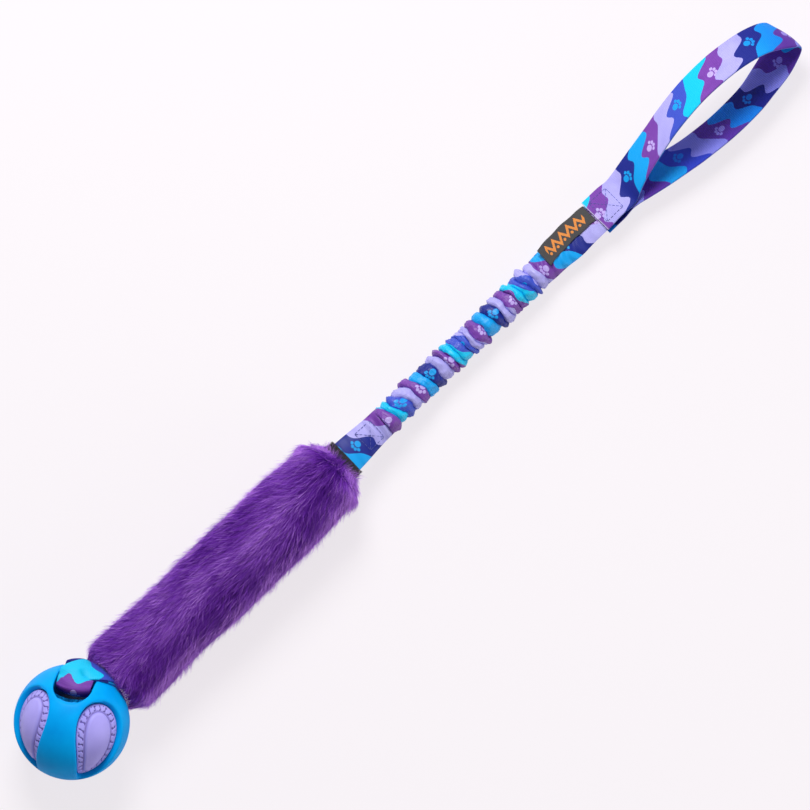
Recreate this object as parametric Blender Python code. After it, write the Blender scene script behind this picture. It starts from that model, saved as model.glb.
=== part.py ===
"""Bungee ball tug toy: a rubber ball on a webbing strap, a fur sleeve, a ruffled bungee and a webbing handle.

The toy lies on the floor, z = 0, along X. The ball is at -X and the handle loop at +X. The origin is
under the middle of the fur sleeve. All sizes are in metres.
"""

import math

import bmesh
import bpy
from mathutils import Matrix, Vector

# Fit between pieces
CLEARANCE = 0.0003
FLAT_DEPTH = 0.0005

# Ball
BALL_RADIUS = 0.0360
SHELL_WALL = 0.0040
BALL_GAP = 0.0001
BALL_YAW = math.radians(36)
BALL_PITCH = math.radians(19)
BALL_ROLL = math.radians(-9)

# Egg-shaped windows in the ball's shell, and the core's panels that fill them
WINDOW_COUNT = 4
WINDOW_MIDDLE = math.radians(96)
WINDOW_HALF_LENGTH = math.radians(50)
WINDOW_HALF_WIDTH = math.radians(25.5)
WINDOW_EGG = 0.45
WINDOW_HEART = -0.22
PANEL_RIM_DROP = 0.0030
PANEL_GROOVE_DEPTH = 0.0007
PANEL_BOSS_DROP = 0.0022
PANEL_RIM_SHARE = 0.76

# Strap opening through the ball's pole, with its collar and cross bar
STRAP_WIDTH = 0.022
STRAP_THICKNESS = 0.0013
SLOT_PLAY = 0.0010
SLOT_LENGTH = 0.054
COLLAR_WALL = 0.0025
COLLAR_DEPTH = 0.0195
BAR_RADIUS = 0.0045
BAR_DEPTH = 0.0070

# Fur sleeve
FUR_LENGTH = 0.190
FUR_RADIUS = 0.0266
FUR_MOUTH_FLARE = 0.0008
FUR_MOUTH_ROUND = 0.006
FUR_NECK_ROUND = 0.010
STRAP_RUN_PLAY = 0.0008
STRAP_LAYER_GAP = 0.0004
STRAP_LAP = 0.022
STRAP_END_INSET = 0.033
STRAP_BACK_BEND = 0.55
BORE_PLAY = 0.0011

# Inner webbing and the tape that binds the neck
WEBBING_WIDTH = 0.020
WEBBING_THICKNESS = 0.0020
TAPE_LENGTH = 0.005
TAPE_WIDTH = 0.029
TAPE_HEIGHT = 0.009

# Lower sewn end of the bungee
LOWER_LENGTH = 0.0304
LOWER_WIDTH = 0.0225
LOWER_HEIGHT = 0.0044
LOWER_POCKET = 0.024

# Ruffled bungee cover and the elastic cord in it
COVER_LENGTH = 0.1363
COVER_RADIUS = 0.0107
COVER_NECK_RADIUS = 0.0079
COVER_FOLDS = 22
COVER_LEAN = 0.0016
CORD_RADIUS = 0.0040
CORD_PLAY = 0.0007
NECK_DROP_LENGTH = 0.095

# Upper flat tube end
UPPER_LENGTH = 0.0665
UPPER_WIDTH = 0.0222
UPPER_START_WIDTH = 0.0205
UPPER_HEIGHT = 0.0040
UPPER_START_HEIGHT = 0.0070
UPPER_FLATTEN = 0.0072

# Handle webbing
HANDLE_WIDTH = 0.025
HANDLE_THICKNESS = 0.0018
HANDLE_LAP = 0.0185
ROOT_ROLL = math.radians(25)
LOOP_ROLL = math.radians(38)
TIP_ROLL = math.radians(6)
LOOP_LENGTH = 0.1405
LOOP_HALF_GAP = 0.0234
LOOP_TIP_LIFT = 0.012

# Label
LABEL_LENGTH = 0.0400
LABEL_WIDTH = 0.0125
LABEL_THICKNESS = 0.0009
LABEL_OFFSET = 0.0046

# Sewn crosses
STITCH_LENGTH = 0.0140
STITCH_WIDTH = 0.0130
STITCH_THREAD = 0.0005
STITCH_HEIGHT = 0.0004

# Places worked out from the sizes above
SLOT_WIDTH = STRAP_WIDTH + 2 * SLOT_PLAY
COLLAR_FLOOR = BALL_RADIUS - COLLAR_DEPTH
BAR_HEIGHT = BALL_RADIUS - BAR_DEPTH
LAYER_OFFSET = (STRAP_THICKNESS + STRAP_LAYER_GAP) / 2
LAP_OFFSET = (WEBBING_THICKNESS + STRAP_THICKNESS) / 2 + CLEARANCE
PAIR_HALF = LAYER_OFFSET + STRAP_THICKNESS / 2
RUN_RADIUS = BALL_RADIUS + STRAP_RUN_PLAY + PAIR_HALF
DISH_RADIUS = math.hypot(RUN_RADIUS + PAIR_HALF, STRAP_WIDTH / 2) + STRAP_RUN_PLAY
FUR_AXIS = FUR_RADIUS - FLAT_DEPTH
FUR_END = FUR_LENGTH / 2
BALL_CENTRE = Vector((-FUR_END - BALL_GAP - BALL_RADIUS, 0, BALL_RADIUS))
BALL_TURN = (
    Matrix.Rotation(BALL_YAW, 3, "Z") @ Matrix.Rotation(-BALL_PITCH, 3, "Y") @ Matrix.Rotation(BALL_ROLL, 3, "X")
)
POLE = BALL_TURN.col[0].copy()
TONGUE = BALL_TURN.col[2].copy()
BAR_CENTRE = BALL_CENTRE + POLE * BAR_HEIGHT
BORE_WIDTH = max(STRAP_WIDTH, WEBBING_WIDTH) + 2 * BORE_PLAY
BORE_HEIGHT = 2 * (LAP_OFFSET + STRAP_THICKNESS / 2 + BORE_PLAY)
LAP_START = -FUR_END + STRAP_END_INSET
TAPE_START = FUR_END + CLEARANCE
NECK_HALF_GAP = LOWER_HEIGHT / 2
NECK_HINGE = TAPE_START + TAPE_LENGTH + NECK_HALF_GAP
LOWER_START = NECK_HINGE + NECK_HALF_GAP
COVER_START = LOWER_START + LOWER_LENGTH + CLEARANCE
COVER_END = COVER_START + COVER_LENGTH
UPPER_START = COVER_END + CLEARANCE
UPPER_END = UPPER_START + UPPER_LENGTH
BUNGEE_AXIS = COVER_RADIUS - FLAT_DEPTH
ROOT_START = UPPER_END - HANDLE_LAP
ROOT_JOIN = UPPER_END + CLEARANCE
ROOT_HEIGHT = UPPER_HEIGHT + 2 * (HANDLE_THICKNESS + CLEARANCE)
THROAT_HEIGHT = 2 * HANDLE_THICKNESS + CLEARANCE
ROOT_END = ROOT_JOIN + THROAT_HEIGHT / 2
HANDLE_HALF_GAP = THROAT_HEIGHT / 2 + CLEARANCE
HANDLE_HINGE = ROOT_END + HANDLE_HALF_GAP
LOOP_START = HANDLE_HINGE + HANDLE_HALF_GAP
LABEL_HINGE = ROOT_START - LABEL_THICKNESS
LABEL_RISE = UPPER_HEIGHT / 2 + CLEARANCE + LABEL_THICKNESS / 2


def material(name, colour, roughness):
    made = bpy.data.materials.new(name)
    made.use_nodes = True
    shader = made.node_tree.nodes["Principled BSDF"]
    shader.inputs["Base Color"].default_value = (*colour, 1)
    shader.inputs["Roughness"].default_value = roughness
    shader.inputs["Metallic"].default_value = 0
    return made


def smooth_step(value):
    value = min(max(value, 0), 1)
    return value * value * (3 - 2 * value)


def mix(first, second, share):
    return first + (second - first) * share


def joint_empty(name, place, parent=None, turn=None):
    """An empty on a joint's axis, which carries the pieces that move with it."""
    empty = bpy.data.objects.new(name, None)
    bpy.context.scene.collection.objects.link(empty)
    matrix = (turn or Matrix.Identity(3)).to_4x4()
    matrix.translation = place
    empty.parent = parent
    empty.matrix_world = matrix
    bpy.context.view_layer.update()
    return empty


def mesh_object(name, mesh, finish, carrier=None, local=False):
    """Links a mesh made in world space, or in its carrier's own space, as an object of that carrier."""
    piece = bpy.data.objects.new(name, mesh)
    bpy.context.scene.collection.objects.link(piece)
    if carrier is not None:
        if not local:
            mesh.transform(carrier.matrix_world.inverted())
        piece.parent = carrier
    if finish is not None:
        mesh.materials.append(finish)
        mesh.shade_smooth()
        mesh.set_sharp_from_angle(angle=math.radians(40))
    return piece


def helper(name, mesh, carrier=None, local=False):
    """A cutter: it shapes other pieces and isn't one itself."""
    tool = mesh_object(name, mesh, None, carrier, local)
    tool.hide_render = True
    tool.display_type = "WIRE"
    return tool


def boolean(piece, tool, operation="DIFFERENCE"):
    step = piece.modifiers.new(tool.name, "BOOLEAN")
    step.object = tool
    step.operation = operation
    step.solver = "EXACT"


def closed_mesh(name, points, faces):
    """A mesh of those faces, all turned to point out."""
    form = bmesh.new()
    made = [form.verts.new(point) for point in points]
    for face in faces:
        form.faces.new([made[index] for index in face])
    bmesh.ops.recalc_face_normals(form, faces=form.faces)
    mesh = bpy.data.meshes.new(name)
    form.to_mesh(mesh)
    form.free()
    return mesh


def loft(name, rings, bore=None):
    """Skins rings of as many points each. With a bore, its rings line the inside and the ends stay open."""
    size = len(rings[0])
    points = [point for ring in rings for point in ring]
    walls = [(0, len(rings))]
    if bore:
        walls.append((len(rings), len(bore)))
        points += [point for ring in bore for point in ring]
    faces = []
    for first, count in walls:
        for row in range(first, first + count - 1):
            for k in range(size):
                a, b = row * size + k, row * size + (k + 1) % size
                faces.append((a, b, b + size, a + size))
    if not bore:
        return closed_mesh(name, points, [*faces, tuple(range(size)), tuple(range(len(points) - size, len(points)))])
    for outer, inner in ((0, len(rings)), (len(rings) - 1, len(rings) + len(bore) - 1)):
        for k in range(size):
            after = (k + 1) % size
            faces.append((outer * size + k, outer * size + after, inner * size + after, inner * size + k))
    return closed_mesh(name, points, faces)


def sphere(name, radius, centre, segments=32):
    form = bmesh.new()
    bmesh.ops.create_uvsphere(form, u_segments=segments, v_segments=segments // 2, radius=radius)
    bmesh.ops.translate(form, vec=centre, verts=form.verts)
    mesh = bpy.data.meshes.new(name)
    form.to_mesh(mesh)
    form.free()
    return mesh


def oval(width, height, sides, power=2.0):
    """Points of a superellipse: power 2 is an ellipse, and more is squarer."""
    ring = []
    for k in range(sides):
        angle = 2 * math.pi * (k + 0.5) / sides
        across, up = math.cos(angle), math.sin(angle)
        ring.append(
            (
                width / 2 * math.copysign(abs(across) ** (2 / power), across),
                height / 2 * math.copysign(abs(up) ** (2 / power), up),
            )
        )
    return ring


def slab(width, height, corner):
    """Points of a flat strip's section, with its corners cut by an arc of three points."""
    ring = []
    for across, up, start in ((1, 1, 0), (-1, 1, 90), (-1, -1, 180), (1, -1, 270)):
        for turn in (0, 45, 90):
            angle = math.radians(start + turn)
            ring.append(
                (
                    across * (width / 2 - corner) + corner * math.cos(angle),
                    up * (height / 2 - corner) + corner * math.sin(angle),
                )
            )
    return ring


def spine_height(x):
    """Height of the toy's centreline, which comes down from the fur's axis to the bungee's."""
    return mix(FUR_AXIS, BUNGEE_AXIS, smooth_step((x - FUR_END) / NECK_DROP_LENGTH))


def spine_roll(x):
    """How far the flat webbing has turned about X, from lying flat to the handle's lean."""
    return ROOT_ROLL * smooth_step((x - COVER_END) / (HANDLE_HINGE - COVER_END))


def spine_frame(x):
    """Place of the centreline at x, with the directions across the width and up from the flat face."""
    step = 0.0005
    along = Vector((2 * step, 0, spine_height(x + step) - spine_height(x - step))).normalized()
    roll = spine_roll(x)
    across = Vector((0, -math.cos(roll), math.sin(roll)))
    return Vector((x, 0, spine_height(x))), across, across.cross(along).normalized()


def spine_ring(x, section, side=0.0, up=0.0):
    place, across, normal = spine_frame(x)
    return [place + across * (a + side) + normal * (b + up) for a, b in section]


def spaced(start, end, count):
    return [mix(start, end, k / (count - 1)) for k in range(count)]


def catmull(keys, steps):
    """Runs smoothly through tuples of numbers or vectors, with that many steps from each to the next."""
    padded = [keys[0], *keys, keys[-1]]
    run = []
    for k in range(len(keys) - 1):
        a, b, c, d = padded[k : k + 4]
        for step in range(steps):
            t = step / steps
            weights = (
                -0.5 * t + t**2 - 0.5 * t**3,
                1 - 2.5 * t**2 + 1.5 * t**3,
                0.5 * t + 2 * t**2 - 1.5 * t**3,
                -0.5 * t**2 + 0.5 * t**3,
            )
            run.append(tuple(sum(((w * v) for w, v in zip(weights[1:], vs[1:])), weights[0] * vs[0])
                             for vs in zip(a, b, c, d)))
    run.append(keys[-1])
    return run


def ribbon(name, stations, width, thickness):
    """A flat strip through stations of (place, across, normal)."""
    rings = []
    for place, across, normal in stations:
        a, n = across * (width / 2), normal * (thickness / 2)
        rings.append([place + a + n, place - a + n, place - a - n, place + a - n])
    return loft(name, rings)


# Ball

def window_ring(middle, radius, inset=0.0, scale=1.0, points=24):
    """The egg outline of a window, about the azimuth of its middle, at that distance from the ball's centre.

    The wide end of the egg is towards the pole. It works in the ball's own space, with the pole along X.
    """
    meridian = Vector((0, math.sin(middle), math.cos(middle)))
    sideways = Vector((0, math.cos(middle), -math.sin(middle)))
    ring = []
    for k in range(points):
        angle = 2 * math.pi * k / points
        along = -math.cos(angle)
        polar = WINDOW_MIDDLE + (WINDOW_HALF_LENGTH - inset) * mix(WINDOW_HEART, along, scale)
        width = (WINDOW_HALF_WIDTH - inset) * math.sin(angle) * (1 - WINDOW_EGG * along) * scale
        on_meridian = Vector((math.cos(polar), 0, 0)) + meridian * math.sin(polar)
        ring.append((on_meridian * math.cos(width) + sideways * math.sin(width)) * radius)
    return ring


def window_azimuths():
    return [2 * math.pi * (k + 0.5) / WINDOW_COUNT for k in range(WINDOW_COUNT)]


def stadium_block(name, length, width, bottom, top, centre, points=8):
    """A prism with round ends: its length runs along Z, its width along Y, and it rises along X."""
    ring = []
    for end in (1, -1):
        for k in range(points + 1):
            angle = math.pi * k / points
            y = width / 2 * math.cos(angle) * end
            z = end * ((length - width) / 2 + width / 2 * math.sin(angle))
            ring.append((y, z))
    return loft(name, [[centre + Vector((x, y, z)) for y, z in ring] for x in (bottom, top)])


def build_ball(hinge, blue, lilac):
    centre = Vector((-BAR_HEIGHT, 0, 0))
    inner = BALL_RADIUS - SHELL_WALL
    beyond = BALL_RADIUS * 1.3

    shell = mesh_object("ball_shell", sphere("ball_shell", BALL_RADIUS, centre), blue, hinge, True)
    hollow = helper("shell_hollow", sphere("shell_hollow", inner, centre), hinge, True)
    collar = helper(
        "collar_block",
        stadium_block("collar_block", SLOT_LENGTH + 2 * COLLAR_WALL, SLOT_WIDTH + 2 * COLLAR_WALL,
                      COLLAR_FLOOR, beyond, centre),
        hinge, True,
    )
    channel = helper(
        "strap_channel",
        stadium_block("strap_channel", SLOT_LENGTH, SLOT_WIDTH, COLLAR_FLOOR - SHELL_WALL, beyond, centre),
        hinge, True,
    )
    boolean(hollow, collar)
    boolean(shell, hollow)
    for k, azimuth in enumerate(window_azimuths()):
        dome = ((1, inner - SHELL_WALL / 3), (1, beyond), (0.5, beyond), (0.05, beyond))
        window = helper(
            f"window_{k + 1}",
            loft(f"window_{k + 1}", [[centre + point for point in window_ring(azimuth, radius, 0, scale)]
                                     for scale, radius in dome]),
            hinge, True,
        )
        boolean(shell, window)
    boolean(shell, channel)
    half_bar = SLOT_WIDTH / 2 + COLLAR_WALL / 2
    bar_ring = oval(2 * BAR_RADIUS, 2 * BAR_RADIUS, 14)
    bar = helper(
        "cross_bar",
        loft("cross_bar", [[Vector((a, y, b)) for a, b in bar_ring] for y in (-half_bar, half_bar)]),
        hinge, True,
    )
    boolean(shell, bar, "UNION")

    core_radius = inner - CLEARANCE
    inset = CLEARANCE / BALL_RADIUS
    rim = BALL_RADIUS - PANEL_RIM_DROP
    boss = BALL_RADIUS - PANEL_BOSS_DROP
    groove = PANEL_RIM_SHARE - 0.06
    steps = (
        (1.0, core_radius - SHELL_WALL),
        (1.0, rim - 0.0006),
        (0.96, rim),
        (PANEL_RIM_SHARE, rim + 0.0002),
        (groove, rim - PANEL_GROOVE_DEPTH),
        (groove - 0.05, mix(rim, boss, 0.6)),
        (groove - 0.30, mix(rim, boss, 0.95)),
        (0.08, boss),
    )
    core = mesh_object("ball_core", sphere("ball_core", core_radius, centre), lilac, hinge, True)
    for k, azimuth in enumerate(window_azimuths()):
        panel = helper(
            f"panel_{k + 1}",
            loft(f"panel_{k + 1}", [[centre + point for point in window_ring(azimuth, radius, inset, scale)]
                                    for scale, radius in steps]),
            hinge, True,
        )
        boolean(core, panel, "UNION")
    seat = helper(
        "collar_seat",
        stadium_block("collar_seat", SLOT_LENGTH + 2 * (COLLAR_WALL + CLEARANCE),
                      SLOT_WIDTH + 2 * (COLLAR_WALL + CLEARANCE), COLLAR_FLOOR - CLEARANCE, beyond, centre),
        hinge, True,
    )
    boolean(core, seat)


# Strap

def strap_stations():
    """The middle of the strap's two layers, from the bar to its sewn lap in the fur.

    Each key has the place, the outer normal, and how far the front and the back layer lie from the middle.
    """
    target = (Vector((-FUR_END, 0, FUR_AXIS)) - BALL_CENTRE).normalized()
    straight_back = (POLE - TONGUE * STRAP_BACK_BEND).normalized()

    def over_ball(share, radius):
        towards = POLE * (1 - share) ** 2 + straight_back * (2 * share * (1 - share)) + target * share**2
        towards.normalize()
        return BALL_CENTRE + towards * radius, towards

    wrap = BAR_RADIUS + CLEARANCE + STRAP_THICKNESS / 2
    inward = (target + Vector((1, 0, 0))).normalized()
    up = Vector((0, 0, 1))
    leaning = Vector((0, 0.8, 0.6))
    keys = [(BAR_CENTRE, TONGUE, wrap, wrap)]
    keys.append((BALL_CENTRE + POLE * (BAR_HEIGHT + 0.45 * BAR_DEPTH), TONGUE, 1.1 * wrap, 0.95 * wrap))
    for share, lift, tilt, front, back in (
        (0.03, -0.8, 1.2, 0.55 * wrap, 0.5 * wrap),
        (0.22, 0.3, 0.3, 1.2 * LAYER_OFFSET, 1.2 * LAYER_OFFSET),
        (0.50, 0.2, 0, LAYER_OFFSET, LAYER_OFFSET),
        (0.80, 0, 0, LAYER_OFFSET, LAYER_OFFSET),
    ):
        place, normal = over_ball(share, RUN_RADIUS + lift * PAIR_HALF)
        keys.append((place, (normal + TONGUE * tilt).normalized(), front, back))
    x = BALL_CENTRE.x + DISH_RADIUS
    keys.append((Vector((x - 0.0012, 0, FUR_AXIS)), (leaning + inward).normalized(), LAYER_OFFSET, LAYER_OFFSET))
    keys.append((Vector((x + 0.0080, 0, FUR_AXIS)), (leaning + up).normalized(), LAYER_OFFSET, LAYER_OFFSET))
    keys.append((Vector((LAP_START - 0.004, 0, FUR_AXIS)), up, LAP_OFFSET, LAP_OFFSET))
    keys.append((Vector((LAP_START + STRAP_LAP, 0, FUR_AXIS)), up, LAP_OFFSET, LAP_OFFSET))
    run = catmull(keys, 5)
    stations = []
    for k, (place, normal, front, back) in enumerate(run):
        before, after = run[max(k - 1, 0)][0], run[min(k + 1, len(run) - 1)][0]
        along = POLE if k == 0 else (after - before).normalized()
        normal = (normal - along * normal.dot(along)).normalized()
        stations.append((place, along.cross(normal), normal, front, back))
    return stations


def build_strap(finish):
    stations = strap_stations()
    wrap = BAR_RADIUS + CLEARANCE + STRAP_THICKNESS / 2
    across = POLE.cross(TONGUE)
    front = [(place + normal * f, a, normal) for place, a, normal, f, b in reversed(stations)]
    back = [(place - normal * b, a, -normal) for place, a, normal, f, b in stations]
    turns = 10
    bend = []
    for k in range(1, turns):
        angle = math.pi * k / turns
        outward = TONGUE * math.cos(angle) - POLE * math.sin(angle)
        bend.append((BAR_CENTRE + outward * wrap, across, outward))
    return mesh_object("ball_strap", ribbon("ball_strap", front + bend + back, STRAP_WIDTH, STRAP_THICKNESS), finish)


# Fur sleeve

def fur_profile():
    """(x, radius) down the sleeve, with an arc at each end."""
    mouth = FUR_RADIUS + FUR_MOUTH_FLARE
    profile = []
    for angle in (0, 30, 60, 90):
        turn = math.radians(angle)
        profile.append((
            -FUR_END + FUR_MOUTH_ROUND * (1 - math.sin(turn)),
            mouth - FUR_MOUTH_ROUND * (1 - math.cos(turn)),
        ))
    profile.reverse()
    profile[0] = (-FUR_END, mouth - FUR_MOUTH_ROUND)
    profile += [(0, FUR_RADIUS)]
    for angle in (0, 22.5, 45, 67.5, 90):
        turn = math.radians(angle)
        profile.append((
            FUR_END - FUR_NECK_ROUND * (1 - math.sin(turn)),
            FUR_RADIUS - FUR_NECK_ROUND * (1 - math.cos(turn)),
        ))
    return profile


def build_fur(finish):
    ring = oval(2, 2, 32)
    rings = [[Vector((x, a * radius, FUR_AXIS + b * radius)) for a, b in ring] for x, radius in fur_profile()]
    fur = mesh_object("fur_sleeve", loft("fur_sleeve", rings), finish)

    past = FUR_END + FUR_RADIUS
    ground = [(-past, -past), (past, -past), (past, past), (-past, past)]
    floor = helper("floor_cut", loft("floor_cut", [[Vector((x, y, z)) for x, y in ground] for z in (-FUR_RADIUS, 0)]))
    bore_ring = slab(BORE_WIDTH, BORE_HEIGHT, BORE_HEIGHT / 4)
    bore = helper(
        "fur_bore",
        loft("fur_bore", [[Vector((x, a, FUR_AXIS + b)) for a, b in bore_ring] for x in (-past, past)]),
    )
    dish = helper("ball_dish", sphere("ball_dish", DISH_RADIUS, BALL_CENTRE, 40))
    bell_length = LAP_START + FUR_END + BORE_PLAY
    bell = sphere("strap_bell", 1, Vector((0, 0, 0)), 20)
    bell.transform(
        Matrix.Translation((-FUR_END, 0, FUR_AXIS))
        @ Matrix.Diagonal((bell_length, STRAP_WIDTH * 0.85, STRAP_WIDTH * 0.75, 1))
    )
    for tool in (floor, bore, dish, helper("strap_bell", bell)):
        boolean(fur, tool)


def build_webbing(finish):
    """The black webbing that runs through the fur and across the neck into the bungee's lower end."""
    section = slab(WEBBING_WIDTH, WEBBING_THICKNESS, WEBBING_THICKNESS / 4)
    end = LOWER_START + LOWER_POCKET - CLEARANCE
    places = [LAP_START + 0.002, *spaced(FUR_END - 0.004, end, 12)]
    mesh_object("core_webbing", loft("core_webbing", [spine_ring(x, section) for x in places]), finish)


def build_tape(finish):
    outer, inner = oval(TAPE_WIDTH, TAPE_HEIGHT, 24, 3), oval(
        WEBBING_WIDTH + 2 * CLEARANCE + 0.0012, WEBBING_THICKNESS + 2 * CLEARANCE + 0.0006, 24, 6
    )
    narrow = oval(TAPE_WIDTH * 0.94, TAPE_HEIGHT * 0.8, 24, 3)
    places = spaced(TAPE_START, TAPE_START + TAPE_LENGTH, 4)
    rings = [spine_ring(x, narrow if x in (places[0], places[-1]) else outer) for x in places]
    bore = [spine_ring(x, inner) for x in places]
    mesh_object("neck_tape", loft("neck_tape", rings, bore), finish)


# Sewn crosses

def stitch_cross(name, start, lift, finish, carrier=None):
    """A sewn box with a cross in it: a flat frame of thread, round four three-cornered holes."""
    half, w, d = STITCH_WIDTH / 2, STITCH_THREAD, STITCH_THREAD / math.sqrt(2)
    middle, reach = start + STITCH_LENGTH / 2, STITCH_LENGTH / 2
    corners = [(-reach, -half), (reach, -half), (reach, half), (-reach, half)]
    flat = list(corners)
    for k in range(4):
        (ax, ay), (bx, by) = corners[k], corners[(k + 1) % 4]
        sx, sy = (ax + bx) / 2, (ay + by) / 2
        side = Vector((bx - ax, by - ay)).normalized()
        inward = Vector((-sx, -sy)).normalized()
        a = Vector((ax, ay)) + inward * w + side * 2 * w
        b = Vector((bx, by)) + inward * w - side * 2 * w
        c = -inward * d
        flat += [tuple(a), tuple(b), tuple(c)]
    faces = []
    for k in range(4):
        before, after = (k - 1) % 4, (k + 1) % 4
        hole, last = 4 + 3 * k, 4 + 3 * before
        faces += [(k, after, hole + 1, hole), (hole, hole + 2, last + 2, last + 1), (k, hole, last + 1)]
    faces.append((6, 9, 12, 15))
    rims = [(k, (k + 1) % 4) for k in range(4)]
    for k in range(4):
        hole = 4 + 3 * k
        rims += [(hole, hole + 1), (hole + 1, hole + 2), (hole + 2, hole)]
    points = []
    for height in (lift, lift + STITCH_HEIGHT):
        for x, y in flat:
            points += spine_ring(middle + x, [(y, height)])
    size = len(flat)
    solid = list(faces)
    solid += [tuple(index + size for index in face) for face in faces]
    solid += [(a, b, b + size, a + size) for a, b in rims]
    return mesh_object(name, closed_mesh(name, points, solid), finish, carrier)


# Bungee

def build_lower_end(neck, finish):
    outline = slab(LOWER_WIDTH, LOWER_HEIGHT, LOWER_HEIGHT / 3)
    places = spaced(LOWER_START, LOWER_START + LOWER_LENGTH, 9)
    lower = mesh_object("lower_end", loft("lower_end", [spine_ring(x, outline) for x in places]), finish, neck)
    pocket_ring = slab(WEBBING_WIDTH + 2 * CLEARANCE, WEBBING_THICKNESS + 2 * CLEARANCE, WEBBING_THICKNESS / 4)
    pocket = [spine_ring(x, pocket_ring) for x in spaced(LOWER_START - 0.003, LOWER_START + LOWER_POCKET, 9)]
    boolean(lower, helper("webbing_pocket", loft("webbing_pocket", pocket), neck))


def fold_swell(along, angle):
    """How far out a gathered fold stands at that share of the cover's length and angle round it, from 0 to 1."""
    lean = COVER_LEAN / COVER_LENGTH * math.sin(angle + 2.2 * math.sin(5 * along))
    wander = 0.006 * math.sin(11 * along) + 0.004 * math.sin(3 * angle + 17 * along)
    phase = (along + lean + wander) * COVER_FOLDS
    swell = abs(math.sin(math.pi * phase)) ** 0.75
    fold = math.floor(phase)
    strength = 0.86 + 0.14 * math.sin(2.4 * fold + 1.5 * math.cos(angle))
    return swell * strength


def build_cover(neck, finish):
    """The gathered fabric tube round the cord. Its folds stand out from a narrower tube, and lie flat below."""
    sides, per_fold = 12, 4
    rows = COVER_FOLDS * per_fold
    rings = []
    for row in range(rows + 1):
        along = row / rows
        place, across, normal = spine_frame(mix(COVER_START, COVER_END, along))
        settle = min(1, along * COVER_FOLDS / 1.5, (1 - along) * COVER_FOLDS / 1.5)
        ring = []
        for k in range(sides):
            angle = 2 * math.pi * (k + 0.5) / sides
            out = mix(COVER_NECK_RADIUS, COVER_RADIUS, fold_swell(along, angle) * (0.35 + 0.65 * settle))
            flat = mix(0.80, 1.0, settle)
            point = place + across * (out * math.cos(angle)) + normal * (out * flat * math.sin(angle))
            point.z = max(point.z, 0)
            ring.append(point)
        rings.append(ring)
    bore_ring = oval(2 * (CORD_RADIUS + CORD_PLAY), 2 * (CORD_RADIUS + CORD_PLAY), sides)
    bore = [spine_ring(x, bore_ring) for x in spaced(COVER_START, COVER_END, 9)]
    mesh_object("bungee_cover", loft("bungee_cover", rings, bore), finish, neck)


def build_cord(neck, finish):
    section = oval(2 * CORD_RADIUS, 2 * CORD_RADIUS, 12)
    rings = [spine_ring(x, section) for x in spaced(COVER_START, COVER_END, 15)]
    mesh_object("bungee_cord", loft("bungee_cord", rings), finish, neck)


# Upper end and handle

def build_upper_end(slide, finish):
    rings = []
    for x in spaced(UPPER_START, UPPER_END, 26):
        share = smooth_step((x - UPPER_START) / UPPER_FLATTEN)
        width = mix(UPPER_START_WIDTH, UPPER_WIDTH, share)
        height = mix(UPPER_START_HEIGHT, UPPER_HEIGHT, share)
        rings.append(spine_ring(x, slab(width, height, height * mix(0.45, 0.33, share))))
    mesh_object("upper_end", loft("upper_end", rings), finish, slide)


def build_root(slide, finish):
    """The two sewn-down ends of the handle webbing, above and below the tube's end, which meet past it."""
    corner = HANDLE_THICKNESS / 4
    places = [*spaced(ROOT_START, ROOT_JOIN, 7), ROOT_END]
    rings = [
        spine_ring(x, slab(HANDLE_WIDTH, ROOT_HEIGHT if x <= ROOT_JOIN else THROAT_HEIGHT, corner)) for x in places
    ]
    root = mesh_object("handle_root", loft("handle_root", rings), finish, slide)
    gap = slab(HANDLE_WIDTH * 1.4, UPPER_HEIGHT + 2 * CLEARANCE, CLEARANCE)
    reach = [spine_ring(x, gap) for x in spaced(ROOT_START - 0.003, UPPER_END + CLEARANCE / 2, 9)]
    boolean(root, helper("tube_gap", loft("tube_gap", reach), slide))


def build_throat(slide, finish):
    section = slab(HANDLE_WIDTH * 0.96, THROAT_HEIGHT * 0.9, HANDLE_THICKNESS / 4)
    places = spaced(ROOT_END + CLEARANCE, LOOP_START - CLEARANCE, 3)
    mesh_object("handle_throat", loft("handle_throat", [spine_ring(x, section) for x in places]), finish, slide)


def loop_station(turn):
    """A point of the handle loop, which is a teardrop that leans over and turns flat at its tip."""
    start = (HANDLE_THICKNESS + CLEARANCE) / 2
    share = (1 - math.cos(turn)) / 2
    swell = abs(math.sin(turn)) * math.sqrt(abs(math.sin(turn / 2))) / 0.862
    out = start * (1 - smooth_step((share - 0.9) / 0.1)) + (LOOP_HALF_GAP - start) * swell
    roll = mix(ROOT_ROLL, LOOP_ROLL, smooth_step(share / 0.3))
    roll = mix(roll, TIP_ROLL, smooth_step((share - 0.55) / 0.45))
    across = Vector((0, -math.cos(roll), math.sin(roll)))
    upward = Vector((0, math.sin(roll), math.cos(roll)))
    edge = (HANDLE_WIDTH * math.sin(roll) + HANDLE_THICKNESS * math.cos(roll)) / 2
    root_edge = (HANDLE_WIDTH * math.sin(ROOT_ROLL) + HANDLE_THICKNESS * math.cos(ROOT_ROLL)) / 2
    low = (BUNGEE_AXIS - root_edge - start * math.cos(ROOT_ROLL)) * (1 - smooth_step(share / 0.35))
    low += LOOP_TIP_LIFT * smooth_step((share - 0.60) / 0.40)
    aside = math.sin(roll) * (start + (out - start) * smooth_step(share / 0.3))
    place = Vector((LOOP_START + share * LOOP_LENGTH, -aside, low + edge))
    if turn <= math.pi:
        place += upward * (2 * out)
    return place, across


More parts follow.
